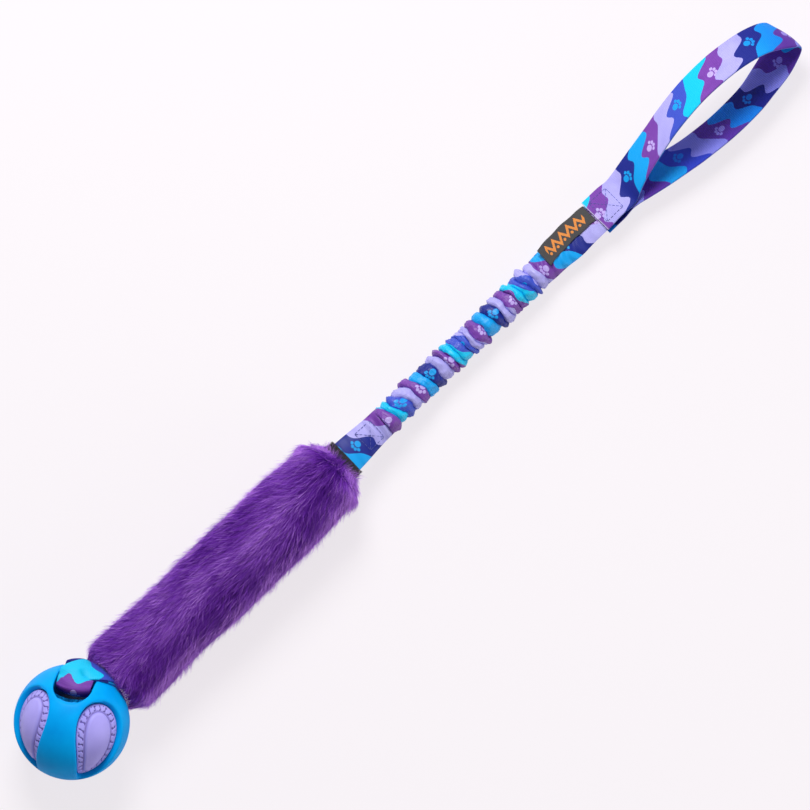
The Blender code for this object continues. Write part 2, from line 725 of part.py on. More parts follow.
def build_loop(handle, finish):
    count = 76
    run = [loop_station(2 * math.pi * k / count) for k in range(count + 1)]
    stations = []
    for k, (place, across) in enumerate(run):
        before, after = run[max(k - 1, 0)][0], run[min(k + 1, count)][0]
        along = (after - before).normalized()
        if k in (0, count):
            along = Vector((1 if k == 0 else -1, 0, 0))
        normal = across.cross(along).normalized()
        stations.append((place, across, normal))
    mesh = ribbon("handle_loop", stations, HANDLE_WIDTH, HANDLE_THICKNESS)
    mesh_object("handle_loop", mesh, finish, handle)


def build_label(hinge, finish):
    """A folded woven label, sewn in under the handle's lower edge. It lies along the tube, towards its left side."""
    rings = []
    for k, x in enumerate(spaced(LABEL_HINGE, LABEL_HINGE - LABEL_LENGTH, 9)):
        narrow = 0.6 if k == 8 else 1
        section = slab(LABEL_WIDTH * (0.97 if k == 8 else 1), LABEL_THICKNESS * narrow, LABEL_THICKNESS * 0.25)
        rings.append(spine_ring(x, section, side=-LABEL_OFFSET, up=LABEL_RISE))
    mesh_object("label", loft("label", rings), finish, hinge)


def clear_scene():
    for item in list(bpy.data.objects):
        bpy.data.objects.remove(item)


def build_toy():
    clear_scene()
    blue = material("blue rubber", (0.0, 0.33, 0.85), 0.45)
    lilac = material("lilac rubber", (0.40, 0.33, 0.83), 0.5)
    fur = material("purple fur", (0.15, 0.045, 0.32), 0.9)
    black = material("black webbing", (0.02, 0.02, 0.022), 0.85)
    print_cloth = material("printed webbing", (0.05, 0.30, 0.80), 0.7)
    ruffle = material("printed cover", (0.16, 0.10, 0.55), 0.7)
    elastic = material("elastic cord", (0.75, 0.75, 0.72), 0.8)
    thread = material("dark thread", (0.03, 0.03, 0.12), 0.8)
    grey = material("charcoal label", (0.045, 0.042, 0.042), 0.8)

    ball = joint_empty("ball_hinge", BAR_CENTRE, turn=BALL_TURN)
    neck = joint_empty("neck_hinge", spine_frame(NECK_HINGE)[0])
    slide = joint_empty("bungee_slide", spine_frame(COVER_END)[0], neck)
    handle = joint_empty("handle_hinge", spine_frame(HANDLE_HINGE)[0], slide)
    label_place, label_across, label_up = spine_frame(LABEL_HINGE)
    label = joint_empty("label_hinge", label_place + label_up * LABEL_RISE, slide)

    build_ball(ball, blue, lilac)
    build_strap(print_cloth)
    build_fur(fur)
    build_webbing(black)
    build_tape(black)
    strap_top = LAP_OFFSET + STRAP_THICKNESS / 2 + 2 * CLEARANCE
    stitch_cross("strap_stitching", LAP_START + 0.006, strap_top, thread)
    build_lower_end(neck, print_cloth)
    lower_inset = (LOWER_LENGTH - STITCH_LENGTH) / 2
    stitch_cross("lower_stitching", LOWER_START + lower_inset, LOWER_HEIGHT / 2 + CLEARANCE, thread, neck)
    build_cover(neck, ruffle)
    build_cord(neck, elastic)
    build_upper_end(slide, print_cloth)
    build_root(slide, print_cloth)
    root_inset = (HANDLE_LAP - STITCH_LENGTH) / 2
    stitch_cross("upper_stitching", ROOT_START + root_inset, ROOT_HEIGHT / 2 + CLEARANCE, thread, slide)
    build_throat(slide, print_cloth)
    build_loop(handle, print_cloth)
    build_label(label, grey)

    for empty in (ball, neck, slide, handle, label):
        print(empty.name, "at", [round(value, 5) for value in empty.matrix_world.translation])
    print("ball hinge axis", [round(value, 5) for value in POLE.cross(TONGUE)])
    print("handle width axis", [round(value, 5) for value in spine_frame(HANDLE_HINGE)[1]])
    print("label width axis", [round(value, 5) for value in label_across])


build_toy()
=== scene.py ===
# %% [markdown]
# # A bungee ball tug toy
#
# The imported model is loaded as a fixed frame, and finer pieces are then built round it: a two-colour
# rubber ball, a fur sleeve, a gathered bungee tube and a printed webbing handle. Everything is in
# metres. The toy lies on the floor along X, with the ball at -X.

import math

import bmesh
import bpy
import numpy as np
from mathutils import Matrix, Vector, geometry, noise


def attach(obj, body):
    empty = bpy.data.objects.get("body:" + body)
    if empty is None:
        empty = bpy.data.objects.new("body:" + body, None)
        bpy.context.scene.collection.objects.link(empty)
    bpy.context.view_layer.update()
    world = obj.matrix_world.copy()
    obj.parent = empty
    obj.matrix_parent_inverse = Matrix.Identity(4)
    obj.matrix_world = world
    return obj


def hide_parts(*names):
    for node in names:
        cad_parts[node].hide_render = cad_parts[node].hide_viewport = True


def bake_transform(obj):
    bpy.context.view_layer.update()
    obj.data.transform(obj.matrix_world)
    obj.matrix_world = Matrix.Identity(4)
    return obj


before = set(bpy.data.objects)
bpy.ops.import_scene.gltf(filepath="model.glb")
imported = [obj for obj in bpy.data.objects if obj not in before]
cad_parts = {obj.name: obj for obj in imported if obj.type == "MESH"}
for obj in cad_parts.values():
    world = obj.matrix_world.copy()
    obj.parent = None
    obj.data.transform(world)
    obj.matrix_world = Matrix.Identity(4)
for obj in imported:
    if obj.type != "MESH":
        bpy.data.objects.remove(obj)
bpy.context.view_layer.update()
MM = 0.001

# %% [markdown]
# ## Camera and stage
#
# The photograph looks straight down on the toy, which crosses the picture from the ball at the lower
# left to the handle at the upper right. A long lens far away keeps the perspective as flat as it is
# there. The turn of the camera about its own line of sight is what makes the toy run diagonally.

# %% Camera
PIXEL = 0.62 * MM
PHOTO_WIDTH = 810
PHOTO_CENTRE = (0.1537, -0.0016)
CAMERA_TURN = math.radians(-43.89)
LENS = 400
SENSOR = 36
FAR_CLIP = 50

lens = bpy.data.cameras.new("camera")
lens.lens = LENS
lens.sensor_width = SENSOR
lens.clip_end = FAR_CLIP
camera = bpy.data.objects.new("camera", lens)
camera_height = 0.030 + PHOTO_WIDTH * PIXEL * LENS / SENSOR
camera.location = (*PHOTO_CENTRE, camera_height)
camera.rotation_euler = (0, 0, CAMERA_TURN)
bpy.context.scene.collection.objects.link(camera)
bpy.context.scene.camera = camera
print("camera", round(camera_height, 3), "m above the floor")

# %% [markdown]
# ## Writing materials as sums
#
# Node trees are easier to read as arithmetic. `Wire` wraps an output socket, so that `1 - mask` or
# `height * 0.5` adds the Math node by itself. `Paint` starts a material and has one method, `node`,
# that makes any other node from its type, its settings and the values of its sockets.

# %% Wire and Paint


class Wire:
    """A value on its way through a material."""

    def __init__(self, paint, socket):
        self.paint = paint
        self.socket = socket

    def math(self, operation, *others):
        return self.paint.node("ShaderNodeMath", {"operation": operation}, dict(enumerate((self, *others))))

    def __add__(self, other):
        return self.math("ADD", other)

    def __sub__(self, other):
        return self.math("SUBTRACT", other)

    def __mul__(self, other):
        return self.math("MULTIPLY", other)

    def __truediv__(self, other):
        return self.math("DIVIDE", other)

    def __rsub__(self, other):
        return self.paint.node("ShaderNodeMath", {"operation": "SUBTRACT"}, {0: other, 1: self})

    __radd__ = __add__
    __rmul__ = __mul__

    def sin(self):
        return self.math("SINE")

    def floor(self):
        return self.math("FLOOR")

    def wrap(self, size):
        return self.math("FLOORED_MODULO", size)

    def over(self, edge):
        return self.math("GREATER_THAN", edge)

    def under(self, edge):
        return self.math("LESS_THAN", edge)

    def larger(self, other):
        return self.math("MAXIMUM", other)

    def size(self):
        return self.math("ABSOLUTE")

    def waves(self, pitch):
        """A sine that repeats after that distance."""
        return (self * (2 * math.pi / pitch)).sin()


class Paint:
    """A material while its nodes are being made."""

    def __init__(self, name, rough, plain=None):
        self.material = bpy.data.materials.new(name)
        self.material.use_nodes = True
        self.tree = self.material.node_tree
        self.shader = self.tree.nodes["Principled BSDF"]
        for key, value in {"Roughness": rough, **(plain or {})}.items():
            self.shader.inputs[key].default_value = value

    def feed(self, socket, value):
        if isinstance(value, Wire):
            self.tree.links.new(value.socket, socket)
        else:
            socket.default_value = value

    def node(self, kind, settings=None, inputs=None, output=0):
        made = self.tree.nodes.new(kind)
        for key, value in (settings or {}).items():
            if key == "stops":
                ramp = made.color_ramp
                while len(ramp.elements) < len(value):
                    ramp.elements.new(1)
                for element, (position, colour) in zip(ramp.elements, value):
                    element.position = position
                    element.color = colour
            else:
                setattr(made, key, value)
        for key, value in (inputs or {}).items():
            self.feed(made.inputs[key], value)
        return Wire(self, made.outputs[output])

    def blend(self, share, first, second, how="MIX"):
        settings = {"data_type": "RGBA", "blend_type": how}
        return self.node("ShaderNodeMix", settings, {0: share, 6: first, 7: second}, 2)

    def ramp(self, value, stops):
        return self.node("ShaderNodeValToRGB", {"stops": stops}, {0: value})

    def noise(self, scale, detail, vector=None):
        place = vector if vector is not None else self.node("ShaderNodeTexCoord", output=3)
        return self.node("ShaderNodeTexNoise", None, {"Vector": place, "Scale": scale, "Detail": detail})

    def attribute(self, name):
        return self.node("ShaderNodeAttribute", {"attribute_name": name}, output=2)

    def cloth_place(self):
        """Millimetres along and across the cloth, from the piece's own map."""
        found = self.node("ShaderNodeUVMap", {"uv_map": "cloth"})
        parts = self.node("ShaderNodeSeparateXYZ", None, {0: found})
        return parts * 1000, Wire(self, parts.socket.node.outputs[1]) * 1000

    def colour(self, value):
        self.feed(self.shader.inputs["Base Color"], value)

    def rough(self, value):
        self.feed(self.shader.inputs["Roughness"], value)

    def bump(self, height, distance, strength):
        inputs = {"Height": height, "Distance": distance, "Strength": strength}
        self.feed(self.shader.inputs["Normal"], self.node("ShaderNodeBump", None, inputs))


def ink(red, green, blue):
    """A colour read off a screen, from 0 to 255, as the linear light that a shader takes."""
    light = []
    for value in (red, green, blue):
        share = value / 255
        light.append(share / 12.92 if share <= 0.04045 else ((share + 0.055) / 1.055) ** 2.4)
    return (*light, 1)


# %% [markdown]
# ## Floor and light
#
# The toy was photographed on a pale ground in very soft light. One broad lamp stands towards the top
# of the picture, a weaker one to its right, and the world fills the rest. The floor shows its own
# pale colour to the camera and still takes a faint shadow.

# %% Floor, world and lamps
GROUND = ink(250, 245, 249)
FLOOR_SHOWN = 0.80
FLOOR_REACH = 6.0
FLOOR_DROP = 0.0003
WORLD_LIGHT = 0.27
TOY_MIDDLE = Vector((0.16, 0, 0.03))

floor_mesh = bpy.data.meshes.new("floor")
floor_corners = [(x * FLOOR_REACH, y * FLOOR_REACH, 0) for x, y in ((-1, -1), (1, -1), (1, 1), (-1, 1))]
floor_mesh.from_pydata(floor_corners, [], [(0, 1, 2, 3)])
floor = bpy.data.objects.new("floor", floor_mesh)
floor.location.z = -FLOOR_DROP
bpy.context.scene.collection.objects.link(floor)
ground = Paint("pale floor", 0.9, {"Base Color": GROUND})
glow = ground.node("ShaderNodeEmission", None, {"Color": GROUND, "Strength": 1.0})
seen = ground.node("ShaderNodeLightPath", output=0)
lit = Wire(ground, ground.shader.outputs[0])
joined = ground.node("ShaderNodeMixShader", None, {0: seen * FLOOR_SHOWN, 1: lit, 2: glow})
ground.tree.links.new(joined.socket, ground.tree.nodes["Material Output"].inputs["Surface"])
floor_mesh.materials.append(ground.material)

world = bpy.data.worlds.new("world")
world.use_nodes = True
world.node_tree.nodes["Background"].inputs["Color"].default_value = (1.0, 0.98, 1.0, 1)
world.node_tree.nodes["Background"].inputs["Strength"].default_value = WORLD_LIGHT
bpy.context.scene.world = world


def softbox(name, side, height, width, power):
    """A square lamp at that place beside and above the toy's middle, turned towards it."""
    lamp = bpy.data.lights.new(name, "AREA")
    lamp.shape = "SQUARE"
    lamp.size = width
    lamp.energy = power
    made = bpy.data.objects.new(name, lamp)
    made.location = TOY_MIDDLE + Vector((side[0], side[1], height))
    made.rotation_euler = (TOY_MIDDLE - made.location).to_track_quat("-Z", "Y").to_euler()
    bpy.context.scene.collection.objects.link(made)


softbox("key softbox", side=(0.50, 0.85), height=1.15, width=0.60, power=24)
softbox("rim softbox", side=(0.30, -1.10), height=0.40, width=0.8, power=4)
bpy.context.scene.view_settings.view_transform = "Standard"
print("lights", [lamp.name for lamp in bpy.data.lights])

# %% [markdown]
# ## Mesh helpers
#
# Most pieces are a section swept along a line of stations. Each station has a place, a direction
# across the width and a direction out of the flat face. The helper also lays down a map called
# `cloth`, whose two numbers are metres along the cloth and metres across it, so that a print or a
# weave keeps its scale wherever the cloth bends.

# %% Mesh helpers


def mesh_piece(name, points, faces, paint):
    mesh = bpy.data.meshes.new(name)
    mesh.from_pydata([tuple(point) for point in points], [], [tuple(face) for face in faces])
    mesh.validate()
    mesh.materials.append(paint.material)
    mesh.shade_smooth()
    made = bpy.data.objects.new(name, mesh)
    bpy.context.scene.collection.objects.link(made)
    return made


def tidy_mesh(made, distance):
    """Joins points that coincide and turns all faces outwards."""
    form = bmesh.new()
    form.from_mesh(made.data)
    bmesh.ops.remove_doubles(form, verts=form.verts, dist=distance)
    bmesh.ops.recalc_face_normals(form, faces=form.faces)
    form.to_mesh(made.data)
    form.free()
    made.data.shade_smooth()


def lay_map(made, name, values):
    """Writes one pair of numbers for each point into a map of the mesh."""
    mesh = made.data
    layer = mesh.uv_layers.new(name=name)
    corners = np.empty(len(mesh.loops), np.int32)
    mesh.loops.foreach_get("vertex_index", corners)
    layer.data.foreach_set("uv", np.asarray(values, np.float32)[corners].ravel())


def write_attribute(made, name, values):
    """Writes one number for each point, which a material reads by that name."""
    layer = made.data.attributes.new(name, "FLOAT", "POINT")
    layer.data.foreach_set("value", np.asarray(values, np.float32).ravel())


def around(count):
    """Angles evenly round a circle."""
    return 2 * np.pi * np.arange(count) / count


def circle(count):
    return np.stack([np.cos(around(count)), np.sin(around(count))], -1)


def ring_faces(rows, sides):
    """Quads between rings of points, with the last point of each ring joined to its first."""
    row, side = np.meshgrid(np.arange(rows - 1), np.arange(sides), indexing="ij")
    first = row * sides + side
    second = row * sides + (side + 1) % sides
    return np.stack([first, second, second + sides, first + sides], -1).reshape(-1, 4)


def run_length(places):
    """The distance along a row of places, at each of them."""
    steps = np.linalg.norm(np.diff(places, axis=0), axis=1)
    return np.concatenate([[0], np.cumsum(steps)])


def strip_section(width, thickness, points=13):
    """A flat strip's section: rounded edges, and the face a hair thicker in the middle."""
    side = np.linspace(-1, 1, points)
    bulge = 0.90 + 0.10 * (1 - side**2)
    rounding = thickness * 0.3
    flat_half = width / 2 - rounding
    top = np.stack([side * flat_half, thickness / 2 * bulge], -1)
    turn = np.radians([60, 20, -20, -60])
    edge = np.stack([flat_half + rounding * np.cos(turn), thickness * 0.42 * np.sin(turn)], -1)
    return np.concatenate([top, edge, -top, -edge])


def arch(share, flat, radius):
    """How far a flat section's points drop where it bends round that radius, for each station's share."""
    return share[:, None] * (flat[None, :, 0] ** 2) / (2 * radius)


def arched(flat, drop):
    """The flat section at each station, with its points that much lower."""
    return np.stack([np.broadcast_to(flat[:, 0], drop.shape), flat[:, 1] - drop], -1)


def sweep(name, places, across, normal, section, paint, start=0.0, lengths=None):
    """Skins the section along the stations. The section may be one for all, or one for each station.
    The map counts metres along the cloth from start, or takes the lengths that it is given."""
    places, across, normal = (np.asarray(values, float) for values in (places, across, normal))
    count = len(places)
    sections = np.broadcast_to(section, (count, *np.shape(section)[-2:]))
    sides = sections.shape[1]
    points = places[:, None] + across[:, None] * sections[..., :1] + normal[:, None] * sections[..., 1:]
    faces = ring_faces(count, sides).tolist()
    faces.append(range(sides)[::-1])
    faces.append(range((count - 1) * sides, count * sides))
    made = mesh_piece(name, points.reshape(-1, 3), faces, paint)
    if lengths is None:
        lengths = run_length(places) + start
    along = np.broadcast_to(lengths[:, None], (count, sides))
    lay_map(made, "cloth", np.stack([along, sections[..., 0]], -1).reshape(-1, 2))
    return made


def smooth_step(value):
    value = np.clip(value, 0, 1)
    return value * value * (3 - 2 * value)


def mix(first, second, share):
    return first + (second - first) * share


def unit(values):
    values = np.asarray(values, float)
    return values / np.linalg.norm(values, axis=-1, keepdims=True)


def smooth_run(keys, steps):
    """Runs smoothly through rows of numbers, with that many steps from each to the next."""
    keys = np.asarray(keys, float)
    padded = np.concatenate([keys[:1], keys, keys[-1:]])
    run = []
    for k in range(len(keys) - 1):
        a, b, c, d = padded[k : k + 4]
        for t in np.arange(steps) / steps:
            run.append(
                a * (-0.5 * t + t**2 - 0.5 * t**3)
                + b * (1 - 2.5 * t**2 + 1.5 * t**3)
                + c * (0.5 * t + 2 * t**2 - 1.5 * t**3)
                + d * (-0.5 * t**2 + 0.5 * t**3)
            )
    run.append(keys[-1])
    return np.array(run)


# %% [markdown]
# ## Places
#
# These are the frame's own sizes, which the dressed pieces keep: where the fur ends, where each flat
# part of the webbing starts, and how the middle line of the toy comes down from the fur to the floor
# and rolls over towards the handle.

# %% Places
FUR_END = 0.095
FUR_AXIS = 0.0261
TAPE_START = 0.0953
LOWER_START = 0.1047
COVER_START = 0.1354
COVER_END = 0.2717
UPPER_START = 0.2720
UPPER_END = 0.3385
ROOT_START = 0.3200
HANDLE_HINGE = 0.3430
BUNGEE_AXIS = 0.0102
SPINE_FALL = 0.095
ROOT_ROLL = math.radians(25)


def spine_height(x):
    return mix(FUR_AXIS, BUNGEE_AXIS, smooth_step((np.asarray(x) - FUR_END) / SPINE_FALL))


def spine_roll(x):
    """How far the flat webbing has rolled over at x: not at all in the gathers, and fully at the handle."""
    return ROOT_ROLL * smooth_step((x - COVER_END) / (HANDLE_HINGE - COVER_END))


def spine_frames(x):
    """Places of the middle line at x, with the directions across the flat webbing and out of its face."""
    x = np.asarray(x, float)
    step = 0.0005
    zero = np.zeros_like(x)
    along = unit(np.stack([zero + 2 * step, zero, spine_height(x + step) - spine_height(x - step)], -1))
    roll = spine_roll(x)
    across = np.stack([zero, -np.cos(roll), np.sin(roll)], -1)
    return np.stack([x, zero, spine_height(x)], -1), across, unit(np.cross(across, along))


# %% [markdown]
# ## Ball: where its parts lie
#
# The ball is a blue rubber shell over a lilac core. The shell has four egg-shaped windows round its
# pole, and the core's raised panels fill them. Everything is worked out in the ball's own directions,
# with the pole along X, and then turned into place. An egg is drawn on the sphere by one angle
# towards the far pole and one angle to the side.

# %% Ball directions
BALL_RADIUS = 0.0360
BALL_CENTRE = np.array([-0.1311, 0, 0.0360])
TURN_Z, TURN_Y, TURN_X = (
    Matrix.Rotation(math.radians(turn), 3, axis) for turn, axis in ((36, "Z"), (-19, "Y"), (-9, "X"))
)
BALL_TURN = np.array(TURN_Z @ TURN_Y @ TURN_X)
POLE, TONGUE = BALL_TURN[:, 0], BALL_TURN[:, 2]
WINDOW_MIDDLE = math.radians(96)
WINDOW_HALF_LENGTH = math.radians(50)
WINDOW_HALF_WIDTH = math.radians(25.5)
WINDOW_EGG = 0.45
WINDOW_HEART = -0.22
SLOT_WIDTH, SLOT_LENGTH = 0.024, 0.054


def window_axes(azimuth):
    """The direction of a window's meridian, and the one to its side."""
    s, c = math.sin(azimuth), math.cos(azimuth)
    return np.array([0, s, c]), np.array([0, c, -s])


def window_points(azimuth, inset=0.0, scale=1.0, count=240):
    """Directions round an egg outline, that many radians inside the window's own edge."""
    angle = around(count)
    along = -np.cos(angle)
    polar = WINDOW_MIDDLE + (WINDOW_HALF_LENGTH - inset) * (WINDOW_HEART * (1 - scale) + along * scale)
    width = (WINDOW_HALF_WIDTH - inset) * np.sin(angle) * (1 - WINDOW_EGG * along) * scale
    meridian, sideways = window_axes(azimuth)
    middle = np.cos(polar)[:, None] * [1, 0, 0] + np.sin(polar)[:, None] * meridian
    return middle * np.cos(width)[:, None] + np.sin(width)[:, None] * sideways


def in_window(directions, azimuth, margin):
    """Which directions meet a window, or pass its edge by less than the margin, in radians."""
    meridian, sideways = window_axes(azimuth)
    width = np.arcsin(np.clip(directions @ sideways, -1, 1))
    polar = np.arctan2(directions @ meridian, directions[:, 0])
    along = (polar - WINDOW_MIDDLE) / (WINDOW_HALF_LENGTH + margin)
    limit = (WINDOW_HALF_WIDTH + margin) * np.sqrt(np.clip(1 - along**2, 0, 1)) * (1 - WINDOW_EGG * along)
    return (np.abs(along) < 1) & (np.abs(width) < limit)


def slot_outline(outset):
    """The round-ended outline of the strap's slot, as places beside the pole."""
    half = (SLOT_LENGTH - SLOT_WIDTH) / 2
    radius = SLOT_WIDTH / 2 + outset
    angle = np.pi * np.arange(60) / 59
    end = np.stack([radius * np.cos(angle), half + radius * np.sin(angle)], -1)
    straight = np.linspace(-half, half, 22)[1:-1]
    left = np.stack([np.full(20, -radius), straight[::-1]], -1)
    return np.concatenate([end, left, -end, -left])


def in_slot(directions, margin):
    """Which directions meet the slot, or pass its edge by less than the margin, in metres."""
    y, z = directions[:, 1] * BALL_RADIUS, directions[:, 2] * BALL_RADIUS
    reach = np.hypot(y, np.maximum(np.abs(z) - (SLOT_LENGTH - SLOT_WIDTH) / 2, 0))
    return (reach < SLOT_WIDTH / 2 + margin) & (directions[:, 0] > 0)


def to_ball(local):
    """Places in the toy's frame from places in the ball's own directions."""
    return BALL_CENTRE + np.asarray(local) @ BALL_TURN.T


AZIMUTHS = [math.pi / 4 + k * math.pi / 2 for k in range(4)]


def is_solid(directions, slot_margin=0.0, window_margin=0.0):
    """Which directions meet the shell itself, clear of its openings by those margins."""
    windows = [in_window(directions, azimuth, window_margin) for azimuth in AZIMUTHS]
    return ~in_slot(directions, slot_margin) & ~np.any(windows, axis=0)


print("the pole of the ball points to", POLE.round(3))

# %% [markdown]
# ## Ball: rubber
#
# Moulded rubber is never quite even. The blue shell is smooth with a soft shine, and a fine noise in
# its bump breaks up the highlight. An attribute of the mesh says how far below the ball's surface a
# point lies, in the strap's slot and down the windows' walls, and painted shade turns it dark blue
# there, where little light gets down. The lilac core is more matt. Another attribute carries painted
# shade in its moulded marks and in the groove round its boss, which are darker there.

# %% Rubber materials
blue_rubber = Paint("blue rubber", 0.42, {"Specular IOR Level": 0.06})
clouds = blue_rubber.noise(60, 3)
blue_base = blue_rubber.ramp(clouds, [(0.3, ink(0, 156, 238)), (0.7, ink(0, 174, 250))])
# Painted shade: the deeper a point lies below the ball's surface, in the slot and down the window walls, the
# darker blue it is painted.
blue_rubber.colour(blue_rubber.blend(blue_rubber.attribute("deep"), blue_base, ink(0, 40, 104)))
blue_rubber.rough(0.36 + clouds * 0.16)
blue_rubber.bump(blue_rubber.noise(1400, 3), 0.00006, 0.35)

lilac_rubber = Paint("lilac rubber", 0.5, {"Specular IOR Level": 0.3})
clouds = lilac_rubber.noise(70, 3)
lilac_base = lilac_rubber.ramp(clouds, [(0.3, ink(170, 160, 242)), (0.7, ink(180, 170, 250))])
# Painted shade: the moulded marks and the groove are painted dark violet, as shade would darken them.
lilac_rubber.colour(lilac_rubber.blend(lilac_rubber.attribute("moulded"), lilac_base, ink(84, 64, 150)))
lilac_rubber.rough(0.44 + clouds * 0.14)
lilac_rubber.bump(lilac_rubber.noise(1600, 3), 0.00005, 0.35)
print("rubber", blue_rubber.material.name, "and", lilac_rubber.material.name)

# %% [markdown]
# ## Ball: blue shell
#
# The shell's outer face is a net of triangles between the edges of its five openings. The points
# spread evenly over the sphere, are flattened from the far pole, and are joined there by a Delaunay
# net that keeps the openings' edges. Each edge has a rounded lip of rings and a wall inwards.

# %% Blue shell
SHELL_WALL = 0.0040
LIP = [(0.0, 0.0013), (0.00010, 0.0008), (0.00035, 0.0004), (0.0007, 0.00014), (0.0012, 0.0)]
SLOT_DEPTH = 0.0195
SHELL_POINTS = 11000
BACK_EDGE = -0.992
SHADE_START, SHADE_DEPTH = 0.0014, 0.0075


def slot_ring(outset, height=None, drop=0.0):
    """A ring of the slot: on the sphere, that much lower, or at one height for the wall inside."""
    flat = slot_outline(outset)
    x = np.sqrt(np.maximum((BALL_RADIUS - drop) ** 2 - (flat**2).sum(1), 0)) if height is None else height
    return np.concatenate([np.broadcast_to(x, len(flat))[:, None], flat], 1)


def build_shell():
    """The shell's points and faces, in the ball's own directions."""
    points, faces = [], []

    def add_rings(rings):
        first = sum(len(part) for part in points)
        sides = len(rings[0])
        points.extend(rings)
        faces.extend((ring_faces(len(rings), sides) + first).tolist())
        return rings[-1]

    edges = []
    for azimuth in AZIMUTHS:
        rings = [window_points(azimuth) * (BALL_RADIUS - SHELL_WALL)]
        rings += [window_points(azimuth, -out / BALL_RADIUS) * (BALL_RADIUS - drop) for out, drop in LIP]
        edges.append(add_rings(rings))
    floor_ring = slot_ring(0, BALL_RADIUS - SLOT_DEPTH)
    rings = [floor_ring * [1, 0.02, 0.02], floor_ring, slot_ring(0, BALL_RADIUS - 0.55 * SLOT_DEPTH)]
    rings += [slot_ring(out * 1.3, drop=drop * 1.3) for out, drop in LIP]
    edges.append(add_rings(rings))

    order = np.arange(SHELL_POINTS)
    turn = order * math.pi * (3 - math.sqrt(5))
    x = 1 - 2 * (order + 0.5) / SHELL_POINTS
    spread = np.sqrt(1 - x * x)
    field = np.stack([x, spread * np.cos(turn), spread * np.sin(turn)], 1)
    keep = is_solid(field, 0.0023, 0.0022 / BALL_RADIUS) & (x > BACK_EDGE)
    solid = np.concatenate([*edges, field[keep] * BALL_RADIUS])
    direction = unit(solid)
    flat = direction[:, 1:] / (1 + direction[:, :1])
    bounds, first = [], 0
    for edge in edges:
        bounds += [(first + k, first + (k + 1) % len(edge)) for k in range(len(edge))]
        first += len(edge)
    found = geometry.delaunay_2d_cdt([Vector(point) for point in flat], bounds, [], 0, 1e-7)
    origin = np.array([source[0] for source in found[3]])
    triangles = origin[np.array(found[2])]
    triangles = triangles[is_solid(unit(solid[triangles].sum(1)))]
    first = sum(len(part) for part in points)
    rim = np.stack([triangles, np.roll(triangles, -1, 1)], -1).reshape(-1, 2)
    counted = {}
    for pair in np.sort(rim, 1).tolist():
        counted[tuple(pair)] = counted.get(tuple(pair), 0) + 1
    inner = len(np.concatenate(edges))
    back = [pair for pair, times in counted.items() if times == 1 and min(pair) >= inner]
    points.extend([solid, np.array([[-BALL_RADIUS, 0, 0]])])
    faces.extend((triangles + first).tolist())
    faces.extend([(first + a, first + b, first + len(solid)) for a, b in back])
    return np.concatenate(points), faces


shell_points, shell_faces = build_shell()
shell = mesh_piece("blue_shell", to_ball(shell_points), shell_faces, blue_rubber)
tidy_mesh(shell, 2e-6)
shell_reach = np.array([(point.co - Vector(BALL_CENTRE)).length for point in shell.data.vertices])
# Painted shade: from a little below the surface inwards, the shell is painted towards dark blue.
write_attribute(shell, "deep", np.clip((BALL_RADIUS - SHADE_START - shell_reach) / SHADE_DEPTH, 0, 1))
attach(shell, "ball")
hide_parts("ball_shell")
print("blue shell", len(shell.data.polygons), "faces")

# %% [markdown]
# ## Ball: cross bar
#
# The strap loops round a bar moulded across the slot. It is a round rod that flares where it meets
# the slot's walls, as moulded rubber does.

# %% Cross bar
BAR_DEPTH = 0.0070
BAR_RADIUS = 0.0045
BAR_FLARE = 0.0011
BAR_STATIONS = 25
BAR_CENTRE = to_ball([BALL_RADIUS - BAR_DEPTH, 0, 0])

bar_y = np.linspace(-1, 1, BAR_STATIONS)
bar_radius = BAR_RADIUS + BAR_FLARE * np.abs(bar_y) ** 9
bar_line = np.stack([0 * bar_y + BALL_RADIUS - BAR_DEPTH, bar_y * (SLOT_WIDTH / 2 + 0.0006), 0 * bar_y], -1)
bar = sweep(
    "cross_bar",
    to_ball(bar_line),
    np.broadcast_to(POLE, (BAR_STATIONS, 3)),
    np.broadcast_to(TONGUE, (BAR_STATIONS, 3)),
    circle(40) * bar_radius[:, None, None],
    blue_rubber,
)
tidy_mesh(bar, 1e-7)
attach(bar, "ball")
print("cross bar at", BAR_CENTRE.round(4))

# %% [markdown]
# ## Ball: lilac panels
#
# Each panel fills its window and stands a little below the shell. A rim follows the edge and carries
# a row of moulded tick marks like big stitches, with a dot here and there. Inside a groove the panel
# swells to a smooth boss. The panel is a net of rings from the edge to the middle, and each point's
# distance from the centre of the ball is a sum of those features.

# %% Lilac panels
RIM_WIDTH = 0.0058
RIM_RADIUS = BALL_RADIUS - 0.0034
BOSS_RADIUS = BALL_RADIUS - 0.0021
GROOVE_DEPTH = 0.0007
MARK_PITCH = 0.0057
MARK_DEPTH = 0.00065
MARK_WIDTH = 0.00048
PANEL_GAP = 0.0003
EDGE_DROPS = [0.0016, 0.0010, 0.0005, 0.00018, 0.00003]
SHOULDER = 0.45


def near_line(s, d, s0, d0, s1, d1):
    """Distance of each point (s, d) from the stretch of line between two places."""
    run, rise = s1 - s0, d1 - d0
    share = np.clip(((s - s0) * run + (d - d0) * rise) / (run * run + rise * rise), 0, 1)
    return np.hypot(s - s0 - share * run, d - d0 - share * rise)


